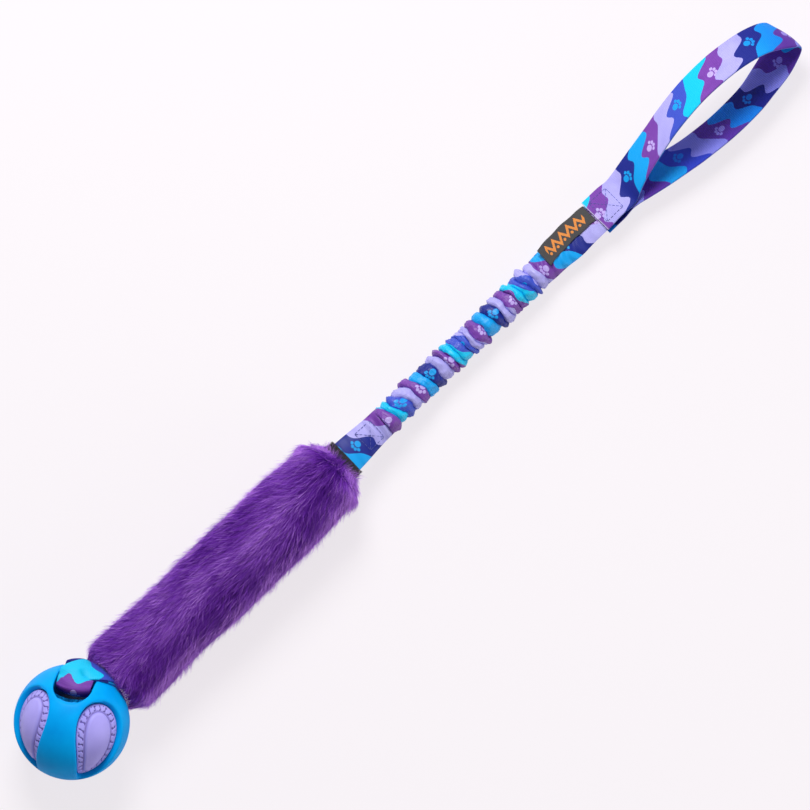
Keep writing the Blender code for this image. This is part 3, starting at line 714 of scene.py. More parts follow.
def panel_marks(s, d, total):
    """How far a mark of the moulding sinks in at s metres round the rim and d metres in from the edge, from 0
    to 1.
    """
    count = max(round(total / MARK_PITCH), 1)
    pitch = total / count
    cell = np.floor(s / pitch)
    x = s - (cell + 0.5) * pitch
    lean = 0.0006 * np.sin(cell * 1.7)
    inner, outer = RIM_WIDTH - 0.0013, 0.0017
    stem = near_line(x, d, -lean, outer, lean, inner)
    foot = near_line(x, d, lean, inner, lean + 0.0013, inner + 0.0002)
    head = near_line(x, d, -lean - 0.0011, outer + 0.0003, -lean, outer)
    marks = np.minimum(stem, foot)
    marks = np.where(cell % 3 == 1, marks, np.minimum(marks, head))
    dot = np.hypot(x - pitch * 0.5, d - 0.0016) - 0.0001
    marks = np.where(cell % 2 == 0, np.minimum(marks, dot), marks)
    return smooth_step(1.35 - marks / MARK_WIDTH)


def build_panel(azimuth, count=300):
    """A panel's points and faces, and the painted shade of its marks and groove at each point."""
    edge_in = [0.0, 0.0, 0.0001, 0.0003, 0.0007] + list(np.linspace(0.0012, RIM_WIDTH + 0.0016, 24))
    swell = BOSS_RADIUS - RIM_RADIUS
    points, marks = [], []
    s = run_length(window_points(azimuth, 0.0, 1.0, count)[[*range(count), 0]] * BALL_RADIUS)
    for k, inside in enumerate(edge_in):
        ring = window_points(azimuth, (inside + PANEL_GAP) / BALL_RADIUS, 1.0, count)
        if k < len(EDGE_DROPS):
            height = np.full(count, RIM_RADIUS - EDGE_DROPS[k])
            mark = np.zeros(count)
        else:
            mark = panel_marks(s[:-1], np.full(count, inside), s[-1])
            groove = math.exp(-(((inside - RIM_WIDTH) / 0.00075) ** 2))
            rise = float(smooth_step((inside - RIM_WIDTH) / 0.0030))
            height = RIM_RADIUS + rise * SHOULDER * swell - groove * GROOVE_DEPTH - mark * MARK_DEPTH
            # From here mark is painted shade, strongest in the marks and about half as strong in the groove.
            mark = np.maximum(mark * 0.9, groove * 0.55)
        points.append(ring * height[:, None])
        marks.append(mark)
    inside = (edge_in[-1] + PANEL_GAP) / BALL_RADIUS
    for scale in np.linspace(1, 0.02, 26)[1:]:
        rise = SHOULDER + (1 - SHOULDER) * float(smooth_step((1 - scale) * 1.15))
        points.append(window_points(azimuth, inside, scale, count) * (RIM_RADIUS + rise * swell))
        marks.append(np.zeros(count))
    faces = ring_faces(len(points), count).tolist()
    faces.append(range(count))
    faces.append(range((len(points) - 1) * count, len(points) * count)[::-1])
    return np.concatenate(points), faces, np.concatenate(marks)


for k, azimuth in enumerate(AZIMUTHS):
    points, faces, marks = build_panel(azimuth)
    panel = mesh_piece(f"lilac_panel_{k + 1}", to_ball(points), faces, lilac_rubber)
    write_attribute(panel, "moulded", marks)
    tidy_mesh(panel, 1e-7)
    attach(panel, "ball")
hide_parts("ball_core")

# %% [markdown]
# ## Printed webbing
#
# The webbing is printed with slanting, wavy bands of navy, cyan, purple and lilac, each about 15 mm
# wide. A small paw sits in every dark band. The band is found from the distance along the cloth, plus
# a slant and two slow waves across it. A little noise at the scale of a thread roughens each border,
# as a weave does, and ribs across the width give the cloth its grain. Attributes of the mesh add
# painted shade and more: `back` is the handle's inner face, which shows another stretch of the print,
# `inside` is a face, a crease or the handle's tip that little light reaches, painted darker as shade,
# and `cut_end` is the pale cut of the weave.

# %% Printed webbing
BAND = 14.6
PAIR = 2 * BAND
BACK_PRINT = 2.55 * BAND
FRAY = 0.7
RIB_PITCH, THREAD_PITCH = 1.15, 0.9
NAVY, ROYAL = ink(24, 38, 136), ink(60, 82, 198)
AZURE, CYAN = ink(0, 164, 240), ink(0, 198, 242)
PURPLE, PLUM = ink(130, 72, 178), ink(108, 52, 154)
LILAC, MAUVE = ink(184, 180, 242), ink(162, 156, 232)
PAW = [(-1.2, 0, 2.2), (1.1, 3.0, 1.1), (2.6, 1.15, 1.15), (2.6, -1.15, 1.15), (1.1, -3.0, 1.1)]


def printed(name, lean, satin=0.0, swing=1.0, back_cut_and_painted_shade=False, scale=1.0):
    """A printed webbing. lean is how far a band's edge runs along the cloth for each step across it."""
    paint = Paint(name, 0.62, {"Specular IOR Level": 0.2 + 0.3 * satin})
    u, v = paint.cloth_place()
    if back_cut_and_painted_shade:
        u = u + paint.attribute("back") * BACK_PRINT
    fray = paint.noise(2200, 1) - 0.5
    slanted = u * scale + v * lean + fray * FRAY
    which = ((slanted + BAND / 2) / PAIR).floor().wrap(4.0)
    middle = (which.wrap(2.0) - 0.5) * 2.6

    def sway(side):
        return (side * 0.50 + which * 1.3 + 0.4).sin() * 1.4 * swing

    past = (slanted + sway(v) + BAND / 2).wrap(PAIR) - BAND
    bulge = (v * 0.40 + 1.57 + which * 0.4).sin() * 2.3 * swing
    in_dark = (bulge + BAND / 2 - past.size()).over(0.0)
    light = ((slanted - BAND / 2) / PAIR).floor().wrap(4.0)
    shade = paint.noise(120, 2)
    blues = paint.blend(which.over(1.0), NAVY, ROYAL)
    purples = paint.blend(shade, PLUM, PURPLE)
    is_purple = which.wrap(2.0).over(0.5)
    darks = paint.blend(is_purple, blues, purples)
    cyans = paint.blend(light.over(1.0), AZURE, CYAN)
    lilacs = paint.blend(shade, MAUVE, LILAC)
    lights = paint.blend(light.wrap(2.0).over(0.5), cyans, lilacs)
    colour = paint.blend(in_dark, lights, darks)
    straight = past - (v - middle) * lean - (sway(v) - sway(middle))
    motif = None
    for along, side, size in PAW:
        a, b = straight - along, v - middle - side
        pad = (a * a + b * b + fray * 0.9).under(size * size)
        motif = pad if motif is None else motif.larger(pad)
    motif_colour = paint.blend(is_purple, AZURE, ink(196, 176, 242))
    colour = paint.blend(motif * in_dark * 0.9, colour, motif_colour)
    rows = u.waves(RIB_PITCH)
    grain = rows * 0.5 + v.waves(THREAD_PITCH) * 0.22
    # Painted shade: where the attribute inside is set, the print is multiplied darker and its ribs darker
    # still. The pale cut end is the weave's own colour.
    if back_cut_and_painted_shade:
        inside = paint.attribute("inside")
        colour = paint.blend(inside, colour, ink(196, 204, 250), "MULTIPLY")
        colour = paint.blend(paint.attribute("cut_end"), colour, ink(226, 220, 248))
        colour = paint.blend(inside * (0.06 + rows * 0.10), colour, ink(10, 8, 60))
    paint.colour(paint.blend(0.08 + grain * 0.08, colour, ink(12, 8, 56)))
    paint.rough(0.62 - 0.22 * satin + grain * 0.08)
    paint.bump(grain + fray * 0.5, 0.00010, 0.55)
    return paint


handle_print = printed("printed handle webbing", 0.66, back_cut_and_painted_shade=True)
tube_print = printed("printed tube webbing", 0.80, 0.6, 0.8)
cover_print = printed("printed gathered cloth", 0.22, 0.8, 0.55, back_cut_and_painted_shade=True)
STRAP_SCALE = 0.70
strap_print = printed("printed strap webbing", 0.10, 0.3, 0.8, scale=STRAP_SCALE)
print("prints made with", len(handle_print.tree.nodes), "nodes each")

# %% [markdown]
# ## Ball strap
#
# The strap goes round the cross bar and leaves the slot as two layers. The front one bulges, both
# fold over the edge of the ball and lie along it, and they end in the mouth of the fur sleeve, sewn
# over and under the inner webbing. It is one ribbon, from the end of the front layer round the bar
# to the end of the back one. At the end, whatever stands too far off the ball is pressed down to it.

# %% Ball strap
STRAP_WIDTH, STRAP_THICKNESS = 0.022, 0.0013
LAYER_OFFSET = 0.00085
LAP_OFFSET = 0.00195
LAP_START = -0.062
BAR_HEIGHT = BALL_RADIUS - BAR_DEPTH
WRAP = BAR_RADIUS + 0.0003 + STRAP_THICKNESS / 2
LOOP_SLACK, LOOP_DROP = 0.0182, 0.0090
PAIR_HALF = 0.0015
RUN_RADIUS = BALL_RADIUS + 0.0006 + PAIR_HALF
BESIDE = unit(POLE + np.array([0.324, -0.312, 0.10]))
MOUTH_X = -0.0890
HUG_RADIUS, PILLOW_RADIUS = 0.034, 0.014
FIRST_BAND = (6 * BAND + 4.5) * MM / STRAP_SCALE
STRAP_REACH = BALL_RADIUS + 0.0031
PRESSED_LEFT = 0.22
PRESS_END, PRESS_FADE = -0.0880, 0.0030


def strap_stations(steps=14):
    """The middle line between both layers, its directions, and each layer's distance from it."""
    target = unit(np.array([-FUR_END, 0, FUR_AXIS]) - BALL_CENTRE)
    keys = [(BAR_CENTRE, TONGUE, LOOP_SLACK, WRAP)]
    keys.append((BALL_CENTRE + POLE * (BAR_HEIGHT + 0.45 * BAR_DEPTH), TONGUE, 0.0158, 0.95 * WRAP))
    for share, lift, tilt, front, back in (
        (0.03, -1.1, 4.0, 0.0078, 0.5 * WRAP),
        (0.22, 0.1, 0.3, 1.2 * LAYER_OFFSET, 1.2 * LAYER_OFFSET),
        (0.50, 0.1, 0, LAYER_OFFSET, LAYER_OFFSET),
        (0.80, 0, 0, LAYER_OFFSET, LAYER_OFFSET),
    ):
        towards = unit(POLE * (1 - share) ** 2 + BESIDE * (2 * share * (1 - share)) + target * share**2)
        place = BALL_CENTRE + towards * (RUN_RADIUS + lift * PAIR_HALF)
        keys.append((place, unit(towards + TONGUE * tilt), front, back))
    up = np.array([0, 0, 1.0])
    leaning = np.array([0, 0.8, 0.6])
    inward = unit(target + [1, 0, 0])
    for x, normal, offset in (
        (MOUTH_X - 0.0012, unit(leaning + inward), LAYER_OFFSET),
        (MOUTH_X + 0.0080, unit(leaning + up), LAYER_OFFSET),
        (LAP_START - 0.004, up, LAP_OFFSET),
        (LAP_START + 0.022, up, LAP_OFFSET),
    ):
        keys.append(((x, 0, FUR_AXIS), normal, offset, offset))
    rows = smooth_run([[*place, *normal, front, back] for place, normal, front, back in keys], steps)
    places, normals = rows[:, :3], rows[:, 3:6]
    along = unit(np.gradient(places, axis=0))
    along[0] = POLE
    normals = unit(normals - along * (normals * along).sum(1, keepdims=True))
    return places, np.cross(along, normals), normals, rows[:, 6:7], rows[:, 7:8]


places, across, normals, front, back = strap_stations()
bend = np.pi * np.arange(1, 20) / 20
bend_out = np.cos(bend) * np.where(np.cos(bend) > 0, LOOP_SLACK, WRAP)
outward = bend_out[:, None] * TONGUE - (np.sin(bend) * LOOP_DROP)[:, None] * POLE
bar_across = np.broadcast_to(np.cross(POLE, TONGUE), outward.shape)
flat_strip = strip_section(STRAP_WIDTH, STRAP_THICKNESS, 25)
from_pole = np.linalg.norm(places - BALL_CENTRE, axis=1)
hug = smooth_step((from_pole - 0.0335) / 0.004) * (1 - smooth_step((from_pole - 0.041) / 0.008))
curl = arch(hug, flat_strip, HUG_RADIUS)
in_slot_share = 1 - smooth_step((from_pole - 0.0325) / 0.0050)
front_sections = arched(flat_strip, curl + arch(in_slot_share, flat_strip, PILLOW_RADIUS))
back_sections = arched(flat_strip, -curl)
bar_sections = arched(flat_strip, arch(np.clip(np.cos(bend), 0, 1), flat_strip, PILLOW_RADIUS))
front_run = float(run_length(places + normals * front)[-1])
strap_ends = (places + normals * front)[::-1], places - normals * back
strap_path = np.concatenate([strap_ends[0], BAR_CENTRE + outward, strap_ends[1]])
strap = sweep(
    "ball_strap_webbing",
    strap_path,
    np.concatenate([across[::-1], bar_across, across]),
    np.concatenate([normals[::-1], unit(outward), -normals]),
    np.concatenate([front_sections[::-1], bar_sections, back_sections]),
    strap_print,
    start=FIRST_BAND - front_run,
)
for point in strap.data.vertices:
    away = np.array(point.co) - BALL_CENTRE
    reach = float(np.linalg.norm(away))
    if reach > STRAP_REACH:
        pressed = STRAP_REACH + PRESSED_LEFT * (reach - STRAP_REACH)
        share = float(smooth_step((PRESS_END - point.co.x) / PRESS_FADE))
        point.co = BALL_CENTRE + away * (mix(reach, pressed, share) / reach)
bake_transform(strap)
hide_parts("ball_strap")

# %% [markdown]
# ## Fur
#
# The sleeve is long faux fur. Its hairs grow from a tube, lie down towards the ball and stick
# together in locks. A dark body inside stops light from passing through, and the hairs over it are
# thin tapering blades, each bent along the flow and drawn a little towards the middle of its lock.
# Blades are plain meshes, so they ride on the sleeve like any other piece. A short fringe
# stands up between the long hairs. It takes the light by its own faces, and the long hairs take it as
# the whole sleeve would, which keeps the fur soft.

# %% Fur shape
FUR_LOW = 0.0004
NECK_HALF_WIDTH, NECK_HALF_HEIGHT = 0.0136, 0.0052
BODY_SIDES = 72


def fur_radius(x):
    """How far the fur reaches from its axis: full along the sleeve, with a blunt end at the ball."""
    x = np.asarray(x, float) * 1000
    full = 25.6 + 0.8 * np.sin(x * 0.045 + 1) + 0.6 * np.sin(x * 0.11 + 2.2)
    full = full + 1.2 * smooth_step((-60 - x) / 30)
    neck = 12.0 + 14.0 * np.clip((102.5 - x) / 14.5, 0, 1) ** 0.55
    mouth = 1 - 0.26 * np.clip((-87 - x) / 12, 0, 1) ** 2
    return np.minimum(full, neck) * mouth * MM


def neck_radius(angle):
    """The flat outline of the binding tape, which the last hairs lie on."""
    return 1 / np.hypot(np.cos(angle) / NECK_HALF_WIDTH, np.sin(angle) / NECK_HALF_HEIGHT)


def fur_outline(x, angle):
    """The fur's reach, which goes over to the tape's outline at the neck."""
    return mix(fur_radius(x), neck_radius(angle), smooth_step((np.asarray(x) - 0.0930) / 0.0090))


def on_fur(x, angle, radius):
    """Places at that distance from the sleeve's axis. The fur lies a little flat on the floor."""
    y = radius * np.cos(angle)
    z = FUR_AXIS + radius * np.sin(angle)
    return np.stack([x, y, np.where(z < FUR_LOW, FUR_LOW + 0.0008 * np.abs(np.sin(z * 900)), z)], -1)


fur_dark = Paint("fur ground", 0.9, {"Specular IOR Level": 0.1})
streak_place = fur_dark.node("ShaderNodeTexCoord", output=3)
multiply = {"operation": "MULTIPLY"}
stretched = fur_dark.node("ShaderNodeVectorMath", multiply, {0: streak_place, 1: (40, 420, 420)})
streaks = fur_dark.noise(1.0, 3, stretched)
fur_dark.colour(fur_dark.ramp(streaks, [(0.35, ink(46, 8, 92)), (0.65, ink(76, 22, 132))]))
fur_dark.bump(streaks, 0.0006, 0.8)

body_x = np.linspace(-0.0925, 0.1000, 96)
body_angle = around(BODY_SIDES)
grid_x, grid_a = np.meshgrid(body_x, body_angle, indexing="ij")
body_waves = 0.82 + 0.025 * np.sin(grid_x * 160 + 3 * grid_a) * np.sin(5 * grid_a)
body_radius = fur_outline(grid_x, grid_a) * body_waves
body_radius *= np.clip((grid_x + 0.0940) / 0.003, 0.7, 1)
body_points = on_fur(grid_x, grid_a, body_radius).reshape(-1, 3)
body_faces = ring_faces(len(body_x), BODY_SIDES).tolist()
body_faces.append(range(len(body_points) - BODY_SIDES, len(body_points)))

# The mouth: three rings that lead into the sleeve from its end at the ball.
mouth = len(body_points)
mouth_rings = [
    np.concatenate([np.full((BODY_SIDES, 1), x), circle(BODY_SIDES) * radius + [0, FUR_AXIS]], 1)
    for x, radius in ((-0.0885, 0.0135), (-0.070, 0.0125), (-0.060, 0.0003))
]
body_points = np.concatenate([body_points, *mouth_rings])
body_faces += (ring_faces(len(mouth_rings), BODY_SIDES) + mouth).tolist()
body_faces.append(range(len(body_points) - BODY_SIDES, len(body_points)))
for k in range(BODY_SIDES):
    after = (k + 1) % BODY_SIDES
    body_faces.append((k, after, mouth + after, mouth + k))
fur_body = mesh_piece("fur_ground", body_points, body_faces, fur_dark)
tidy_mesh(fur_body, 1e-7)
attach(fur_body, "tug")
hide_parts("fur_sleeve")
print("fur ground", len(fur_body.data.polygons), "faces")

# %% [markdown]
# ### Where the hairs grow
#
# The hairs of one lock share its numbers, which come from the lock's row and column, so neighbours in
# a lock lean together. The flow turns the hairs slowly round the sleeve as they lie down.

# %% Fur roots and locks
HAIR_PIECES = 5
HAIRS = 21000
HAIR_STEPS = 5
HAIR_TAPER = np.array([0.9, 1.0, 0.85, 0.55, 0.08])
FRINGE_SHARE = 0.30
FRINGE_AT_ENDS = 0.20
LOCK_LENGTH = 0.008
LOCKS_ROUND = 46
LOCK_ANGLE = 2 * np.pi / LOCKS_ROUND
LOCK_PULL = 0.34

fur_hair = Paint("fur hair", 0.7, {"Specular IOR Level": 0.12})
shade = fur_hair.attribute("shade")
FUR_TONES = [(0.0, (62, 8, 116)), (0.3, (95, 30, 158)), (0.6, (134, 66, 196)), (1.0, (206, 142, 246))]
fur_hair.colour(fur_hair.ramp(shade, [(place, ink(*tone)) for place, tone in FUR_TONES]))
fur_hair.rough(0.75 - shade * 0.15)


def hair_roots(dice, count):
    """Which hairs are the short fringe, and where each hair grows. Some of the fringe crowds at the ends."""
    fringe = dice.random(count) < FRINGE_SHARE
    root_x = dice.uniform(-0.0800, 0.1000, count)
    at_end = fringe & (dice.random(count) < FRINGE_AT_ENDS)
    at_mouth = dice.random(count) < 0.4
    end_x = np.where(at_mouth, dice.uniform(-0.0900, -0.080, count), dice.uniform(0.088, 0.1000, count))
    return fringe, np.where(at_end, end_x, root_x), dice.uniform(0, 2 * np.pi, count)


def hair_locks(root_x, root_angle):
    """Two numbers from 0 to 1 that each hair's lock has for itself, and the angle of the lock's middle."""
    row = np.floor(root_x / LOCK_LENGTH)
    column = np.floor(root_angle / LOCK_ANGLE + 0.5 * (row % 2))
    found = []
    for a, b, c in ((12.9898, 78.233, 43758.5453), (39.346, 11.135, 24634.6345)):
        mixed = np.sin(row * a + (column % LOCKS_ROUND) * b) * c
        found.append(mixed - np.floor(mixed))
    return *found, (column + 0.5 - 0.5 * (row % 2)) * LOCK_ANGLE + (found[1] - 0.5) * 0.10


def hair_flow(x, angle):
    """How far the hair turns round the sleeve as it lies down: it parts along the top, with slow swirls."""
    return (
        0.15 * np.sin(2 * (angle - np.pi / 2))
        + 0.12 * np.sin(x * 38 + 2 * angle + 0.6)
        + 0.08 * np.sin(x * 83 - 3 * angle + 2.1)
    )


def patches(x, angle):
    """Slow patches of lighter and darker fur, drawn out along the sleeve, from about -1 to 1."""
    wide = np.sin(x * 62 + 3.1 * np.sin(angle * 2 + x * 21) + 1.0)
    return 0.5 * (wide + np.sin(x * 141 + 4 * angle + 2 * np.sin(x * 47)))


print("locks of", round(LOCK_LENGTH * 1000), "mm,", LOCKS_ROUND, "round the sleeve")

# %% [markdown]
# ### The hairs themselves
#
# Each hair is a blade of five cross lines. Its length, lift, width and roll come from one row of dice,
# always thrown in the same order. The hairs end bluntly in front of the ball, a little ragged, and
# further back where the strap comes out. Fur at the sleeve's sides is painted lighter, a painted rim
# light, most on the -Y side.

# %% Fur hairs
HAIR_LENGTH, HAIR_LENGTH_SPREAD = 0.0280, 0.0050
FRINGE_LENGTH = (0.0045, 0.0095)
FRINGE_RISE = (0.0008, 0.0038)
HAIR_WIDTH = (0.00015, 0.00029)
BLUNT_END = -0.0972
STRAP_ANGLE = 1.25


def hair_tone(dice, fringe, root_x, root_angle, lock_dice, share):
    """How light each hair is at each of its steps, from 0 to 1."""
    count = len(root_x)
    tone = 0.30 + 0.20 * (lock_dice - 0.5) + dice.normal(0, 0.11, count) + 0.34 * (dice.random(count) < 0.07)
    tone = tone + 0.23 * patches(root_x, root_angle) + np.where(fringe, 0.10, 0)
    # Painted rim light: hairs at the sleeve's sides are painted lighter, fully on the -Y side and half on the
    # +Y side, more in the fringe.
    across = np.cos(root_angle)
    side = smooth_step((-across - 0.62) / 0.33) + 0.5 * smooth_step((across - 0.80) / 0.2)
    tone = tone + side * np.where(fringe, 0.55, 0.22)
    return (tone[:, None] + np.where(fringe, 0.50, 0.30)[:, None] * (share - 0.35)).clip(0, 1)


def lay_hair_map(made, count, share):
    """A map for baking, with one small cell of a grid for each hair."""
    grid = math.ceil(math.sqrt(count))
    cell = np.arange(count)
    left, low = (cell % grid)[:, None], (cell // grid)[:, None]
    map_v = (low + 0.08 + 0.84 * share) / grid
    map_u = np.stack([(left + 0.15 + 0 * share) / grid, (left + 0.85 + 0 * share) / grid], -1)
    lay_map(made, "OFBake", np.stack([map_u, np.repeat(map_v[..., None], 2, -1)], -1).reshape(-1, 2))


def hair_lines(dice, fringe, root_x, root_angle, lock_dice, lock_turn, lock_centre, share):
    """The places of each hair's steps, the hairs' widths and rolls, and the angles of the steps."""
    count = len(root_x)
    over_strap = np.exp(-(((root_angle - STRAP_ANGLE) / 0.45) ** 2))
    ragged = dice.exponential(0.0012, count).clip(0, 0.0032)
    blunt_end = BLUNT_END - 0.0032 * np.cos(root_angle) ** 2 + 0.0058 * over_strap - ragged
    length = dice.normal(HAIR_LENGTH, HAIR_LENGTH_SPREAD, count).clip(0.014, 0.040)
    length = np.where(fringe, dice.uniform(*FRINGE_LENGTH, count), length)
    length = np.minimum(length, root_x - blunt_end)
    lift = dice.uniform(0.90, 1.00, count) + 0.03 * (lock_dice - 0.5)
    rise = np.where(fringe, dice.uniform(*FRINGE_RISE, count), 0)
    rise = rise * np.where(dice.random(count) < 0.1, 1.5, 1.0)
    wander = dice.normal(0, 0.07, count)
    width = dice.uniform(*HAIR_WIDTH, count) * np.where(fringe, 0.8, 1)
    roll = dice.uniform(-1.2, 1.2, count)
    turn_back = np.where(fringe & (root_x > 0.0945), dice.uniform(-0.85, 0.35, count), 1)[:, None]
    x = root_x[:, None] - length[:, None] * (0.93 * share + 0.07 * share**2) * turn_back
    flow = hair_flow(root_x, root_angle) * np.where(fringe, 0.45, 1)
    pull = (lock_centre - root_angle)[:, None] * LOCK_PULL * share * np.where(fringe, 0.3, 1)[:, None]
    angle = root_angle[:, None] + pull + (flow + wander)[:, None] * share**1.3
    base = np.where(fringe, 0.90, 0.76)[:, None]
    radius = fur_outline(x, angle) * (base + (lift[:, None] - base) * (1 - (1 - share) ** 1.9))
    radius = radius + rise[:, None] * share + 0.0006 * np.sin(share * 5 + 20 * lock_turn[:, None]) * share
    return on_fur(x, angle, radius), width, roll, angle


def build_hair(name, seed, count):
    dice = np.random.default_rng(seed)
    share = np.linspace(0, 1, HAIR_STEPS)[None, :]
    fringe, root_x, root_angle = hair_roots(dice, count)
    lock_dice, lock_turn, lock_centre = hair_locks(root_x, root_angle)
    places, width, roll, angle = hair_lines(
        dice, fringe, root_x, root_angle, lock_dice, lock_turn, lock_centre, share
    )
    along = unit(np.gradient(places, axis=1))
    out = np.stack([np.zeros_like(angle), np.cos(angle), np.sin(angle)], -1)
    aside = unit(np.cross(along, out))
    face = unit(np.cross(aside, along))
    blade = aside * np.cos(roll)[:, None, None] + face * np.sin(roll)[:, None, None]
    half = blade * (width[:, None, None] / 2) * HAIR_TAPER[None, :, None]
    points = np.stack([places - half, places + half], 2).reshape(-1, 3)
    first = (np.arange(count) * HAIR_STEPS * 2)[:, None] + (np.arange(HAIR_STEPS - 1) * 2)[None, :]
    faces = np.stack([first, first + 1, first + 3, first + 2], -1).reshape(-1, 4)
    made = mesh_piece(name, points, faces, fur_hair)
    tone = hair_tone(dice, fringe, root_x, root_angle, lock_dice, share)
    write_attribute(made, "shade", np.repeat(tone.reshape(-1), 2))
    spread = blade * dice.normal(0, 0.40, count)[:, None, None]
    lying = unit(out * 0.8 + face * 0.4 + spread - along * 0.12)
    standing = unit(unit(np.cross(blade, along)) + out * 0.2)
    normal = np.where(fringe[:, None, None], standing, lying)
    made.data.normals_split_custom_set_from_vertices(np.repeat(normal.reshape(-1, 3), 2, 0).tolist())
    lay_hair_map(made, count, share)
    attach(made, "tug")


for k in range(HAIR_PIECES):
    build_hair(f"fur_hair_{k + 1}", 11 + k, HAIRS)
print("fur hair", HAIR_PIECES * HAIRS, "hairs")

# %% [markdown]
# ## Neck: binding tape and inner webbing
#
# The narrow end of the fur is bound with black tape, and black webbing runs on from it into the
# bungee's flat end. The tape is a squashed tube with a fuzzy face: short dark hairs stand all over it.

# %% Neck
INNER_WIDTH, INNER_THICKNESS = 0.0165, 0.0016
TAPE_HALF_WIDTH, TAPE_HALF_HEIGHT = 0.0131, 0.0044
TAPE_RINGS = 16

black_web = Paint("black webbing", 0.85)
u, v = black_web.cloth_place()
rows = u.waves(1.1) * 0.5 + v.waves(0.8) * 0.3
black_web.colour(black_web.blend(0.5 + rows * 0.4, ink(26, 24, 30), ink(62, 58, 64)))
black_web.bump(rows, 0.0002, 0.7)

neck_x = np.concatenate([[-0.058], np.linspace(0.085, 0.129, 45)])
web_section = strip_section(INNER_WIDTH, INNER_THICKNESS)
inner_web = sweep("inner_webbing", *spine_frames(neck_x), web_section, black_web)
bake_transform(inner_web)
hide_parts("core_webbing")

tape_angle = around(64)
tape_x = np.linspace(TAPE_START - 0.0030, TAPE_START + 0.0102, TAPE_RINGS)
tape_swell = 1 - 0.14 * np.abs(np.linspace(-1, 1, TAPE_RINGS)) ** 3
tape_side = np.sin(tape_angle)
tape_height = TAPE_HALF_HEIGHT * np.sign(tape_side) * np.abs(tape_side) ** 0.8
tape_flat = np.stack([TAPE_HALF_WIDTH * np.cos(tape_angle), tape_height], -1)
tape_wobble = 1 + 0.03 * np.sin(5 * tape_angle + 1) * np.sin(np.linspace(0, 6, TAPE_RINGS))[:, None]
tape_sections = tape_flat * (tape_swell[:, None] * tape_wobble)[..., None]
tape = sweep("neck_binding", *spine_frames(tape_x), tape_sections, black_web)
tidy_mesh(tape, 1e-7)
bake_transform(tape)
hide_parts("neck_tape")

fuzz_paint = Paint("black fuzz", 0.9)
fuzz_tones = [(0, ink(18, 16, 22)), (1, ink(120, 112, 118))]
fuzz_paint.colour(fuzz_paint.ramp(fuzz_paint.attribute("shade"), fuzz_tones))


def build_fuzz(name, seed, count):
    """Short straight hairs that stand out of the binding tape."""
    dice = np.random.default_rng(seed)
    x = dice.uniform(TAPE_START + 0.003, TAPE_START + 0.0103, count)
    angle = dice.uniform(0, 2 * np.pi, count)
    place, side, up = spine_frames(x)
    c, s = np.cos(angle)[:, None], np.sin(angle)[:, None]
    root = place + side * c * 0.0126 + up * s * 0.0041
    out = unit(side * c * 0.5 + up * s + dice.normal(0, 0.35, (count, 3)))
    length = dice.uniform(0.0004, 0.0014, count)[:, None]
    blade = unit(np.cross(out, dice.normal(0, 1, (count, 3)))) * 0.00011
    tip = root + out * length
    points = np.stack([root - blade, root + blade, tip + blade * 0.2, tip - blade * 0.2], 1).reshape(-1, 3)
    made = mesh_piece(name, points, np.arange(count * 4).reshape(-1, 4), fuzz_paint)
    write_attribute(made, "shade", np.repeat(dice.random(count) ** 2, 4))
    return made


fuzz = build_fuzz("neck_fuzz", 5, 4200)
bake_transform(fuzz)
print("neck binding and", len(fuzz.data.polygons), "fuzz hairs")

# %% [markdown]
# ## Bungee: flat lower end
#
# Below the gathers the printed tube lies flat and is sewn down over the black webbing. The section is
# a thin lens, a little wider at the fur, and the sewn part is pulled in round the stitches.

# %% Lower end
PRINT_ZERO, PRINT_STRETCH = 0.1215, 1.20
LOWER_WIDE, LOWER_NARROW = 0.0226, 0.0190
LOWER_STATIONS = 70
LENS_POWER = 1.35


def lens_section(width, height, count=48):
    """A soft flat tube's section: full in the middle and thin at its two folded edges."""
    c, s = circle(count).T
    return np.stack([width / 2 * c, height / 2 * np.sign(s) * np.abs(s) ** LENS_POWER], -1)


def ruck(sections, height):
    """Raises and lowers the faces of a flat tube by that height, the same way on both."""
    sections[:, :, 1] += height * np.sign(sections[:, :, 1])


lower_x = np.linspace(LOWER_START - 0.0017, COVER_START + 0.0015, LOWER_STATIONS)
lower_share = np.linspace(0, 1, LOWER_STATIONS)
lower_width = mix(LOWER_WIDE, LOWER_NARROW, smooth_step(lower_share * 1.1))
lower_height = 0.0050 + 0.0050 * smooth_step((lower_share - 0.60) / 0.40)
lower_sections = np.stack([lens_section(w, h) for w, h in zip(lower_width, lower_height)])
lower_waves = np.sin(lower_x[:, None] * 900 + 160 * lower_sections[:, :, 0])
ruck(lower_sections, (smooth_step((lower_share - 0.55) / 0.45)[:, None] * 0.0008 + 0.00022) * lower_waves)
lower_lengths = (PRINT_ZERO - lower_x) * PRINT_STRETCH
lower = sweep("lower_tube", *spine_frames(lower_x), lower_sections, tube_print, lengths=lower_lengths)
tidy_mesh(lower, 1e-7)
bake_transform(lower)
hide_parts("lower_end")
print("lower end", round(float(lower_x[-1] - lower_x[0]) * 1000, 1), "mm")

# %% [markdown]
# ## Bungee: gathered cover
#
# The elastic inside pulls the printed tube up into twenty-two rolls. Each roll is one turn of a curve
# that leans over its own valleys, so the folds bulge and the creases between them are narrow. The
# rolls slant across the tube, and each one's height, thickness and slant change as it goes round. The
# cloth's own length along the curve goes into the map, so that the print is drawn up with the folds.

# %% Gathered cover
FOLDS = 22
FOLD_SIDES = 128
FOLD_STEPS = 18
FOLD_CLOTH = 0.0128
COVER_RADIUS, COVER_VALLEY = 0.0104, 0.0062
OVERHANG = 1.30
CRUMPLE = 0.00050
COVER_MAP = (PRINT_ZERO - COVER_START) * PRINT_STRETCH
CREASE_SHADE = 1.6


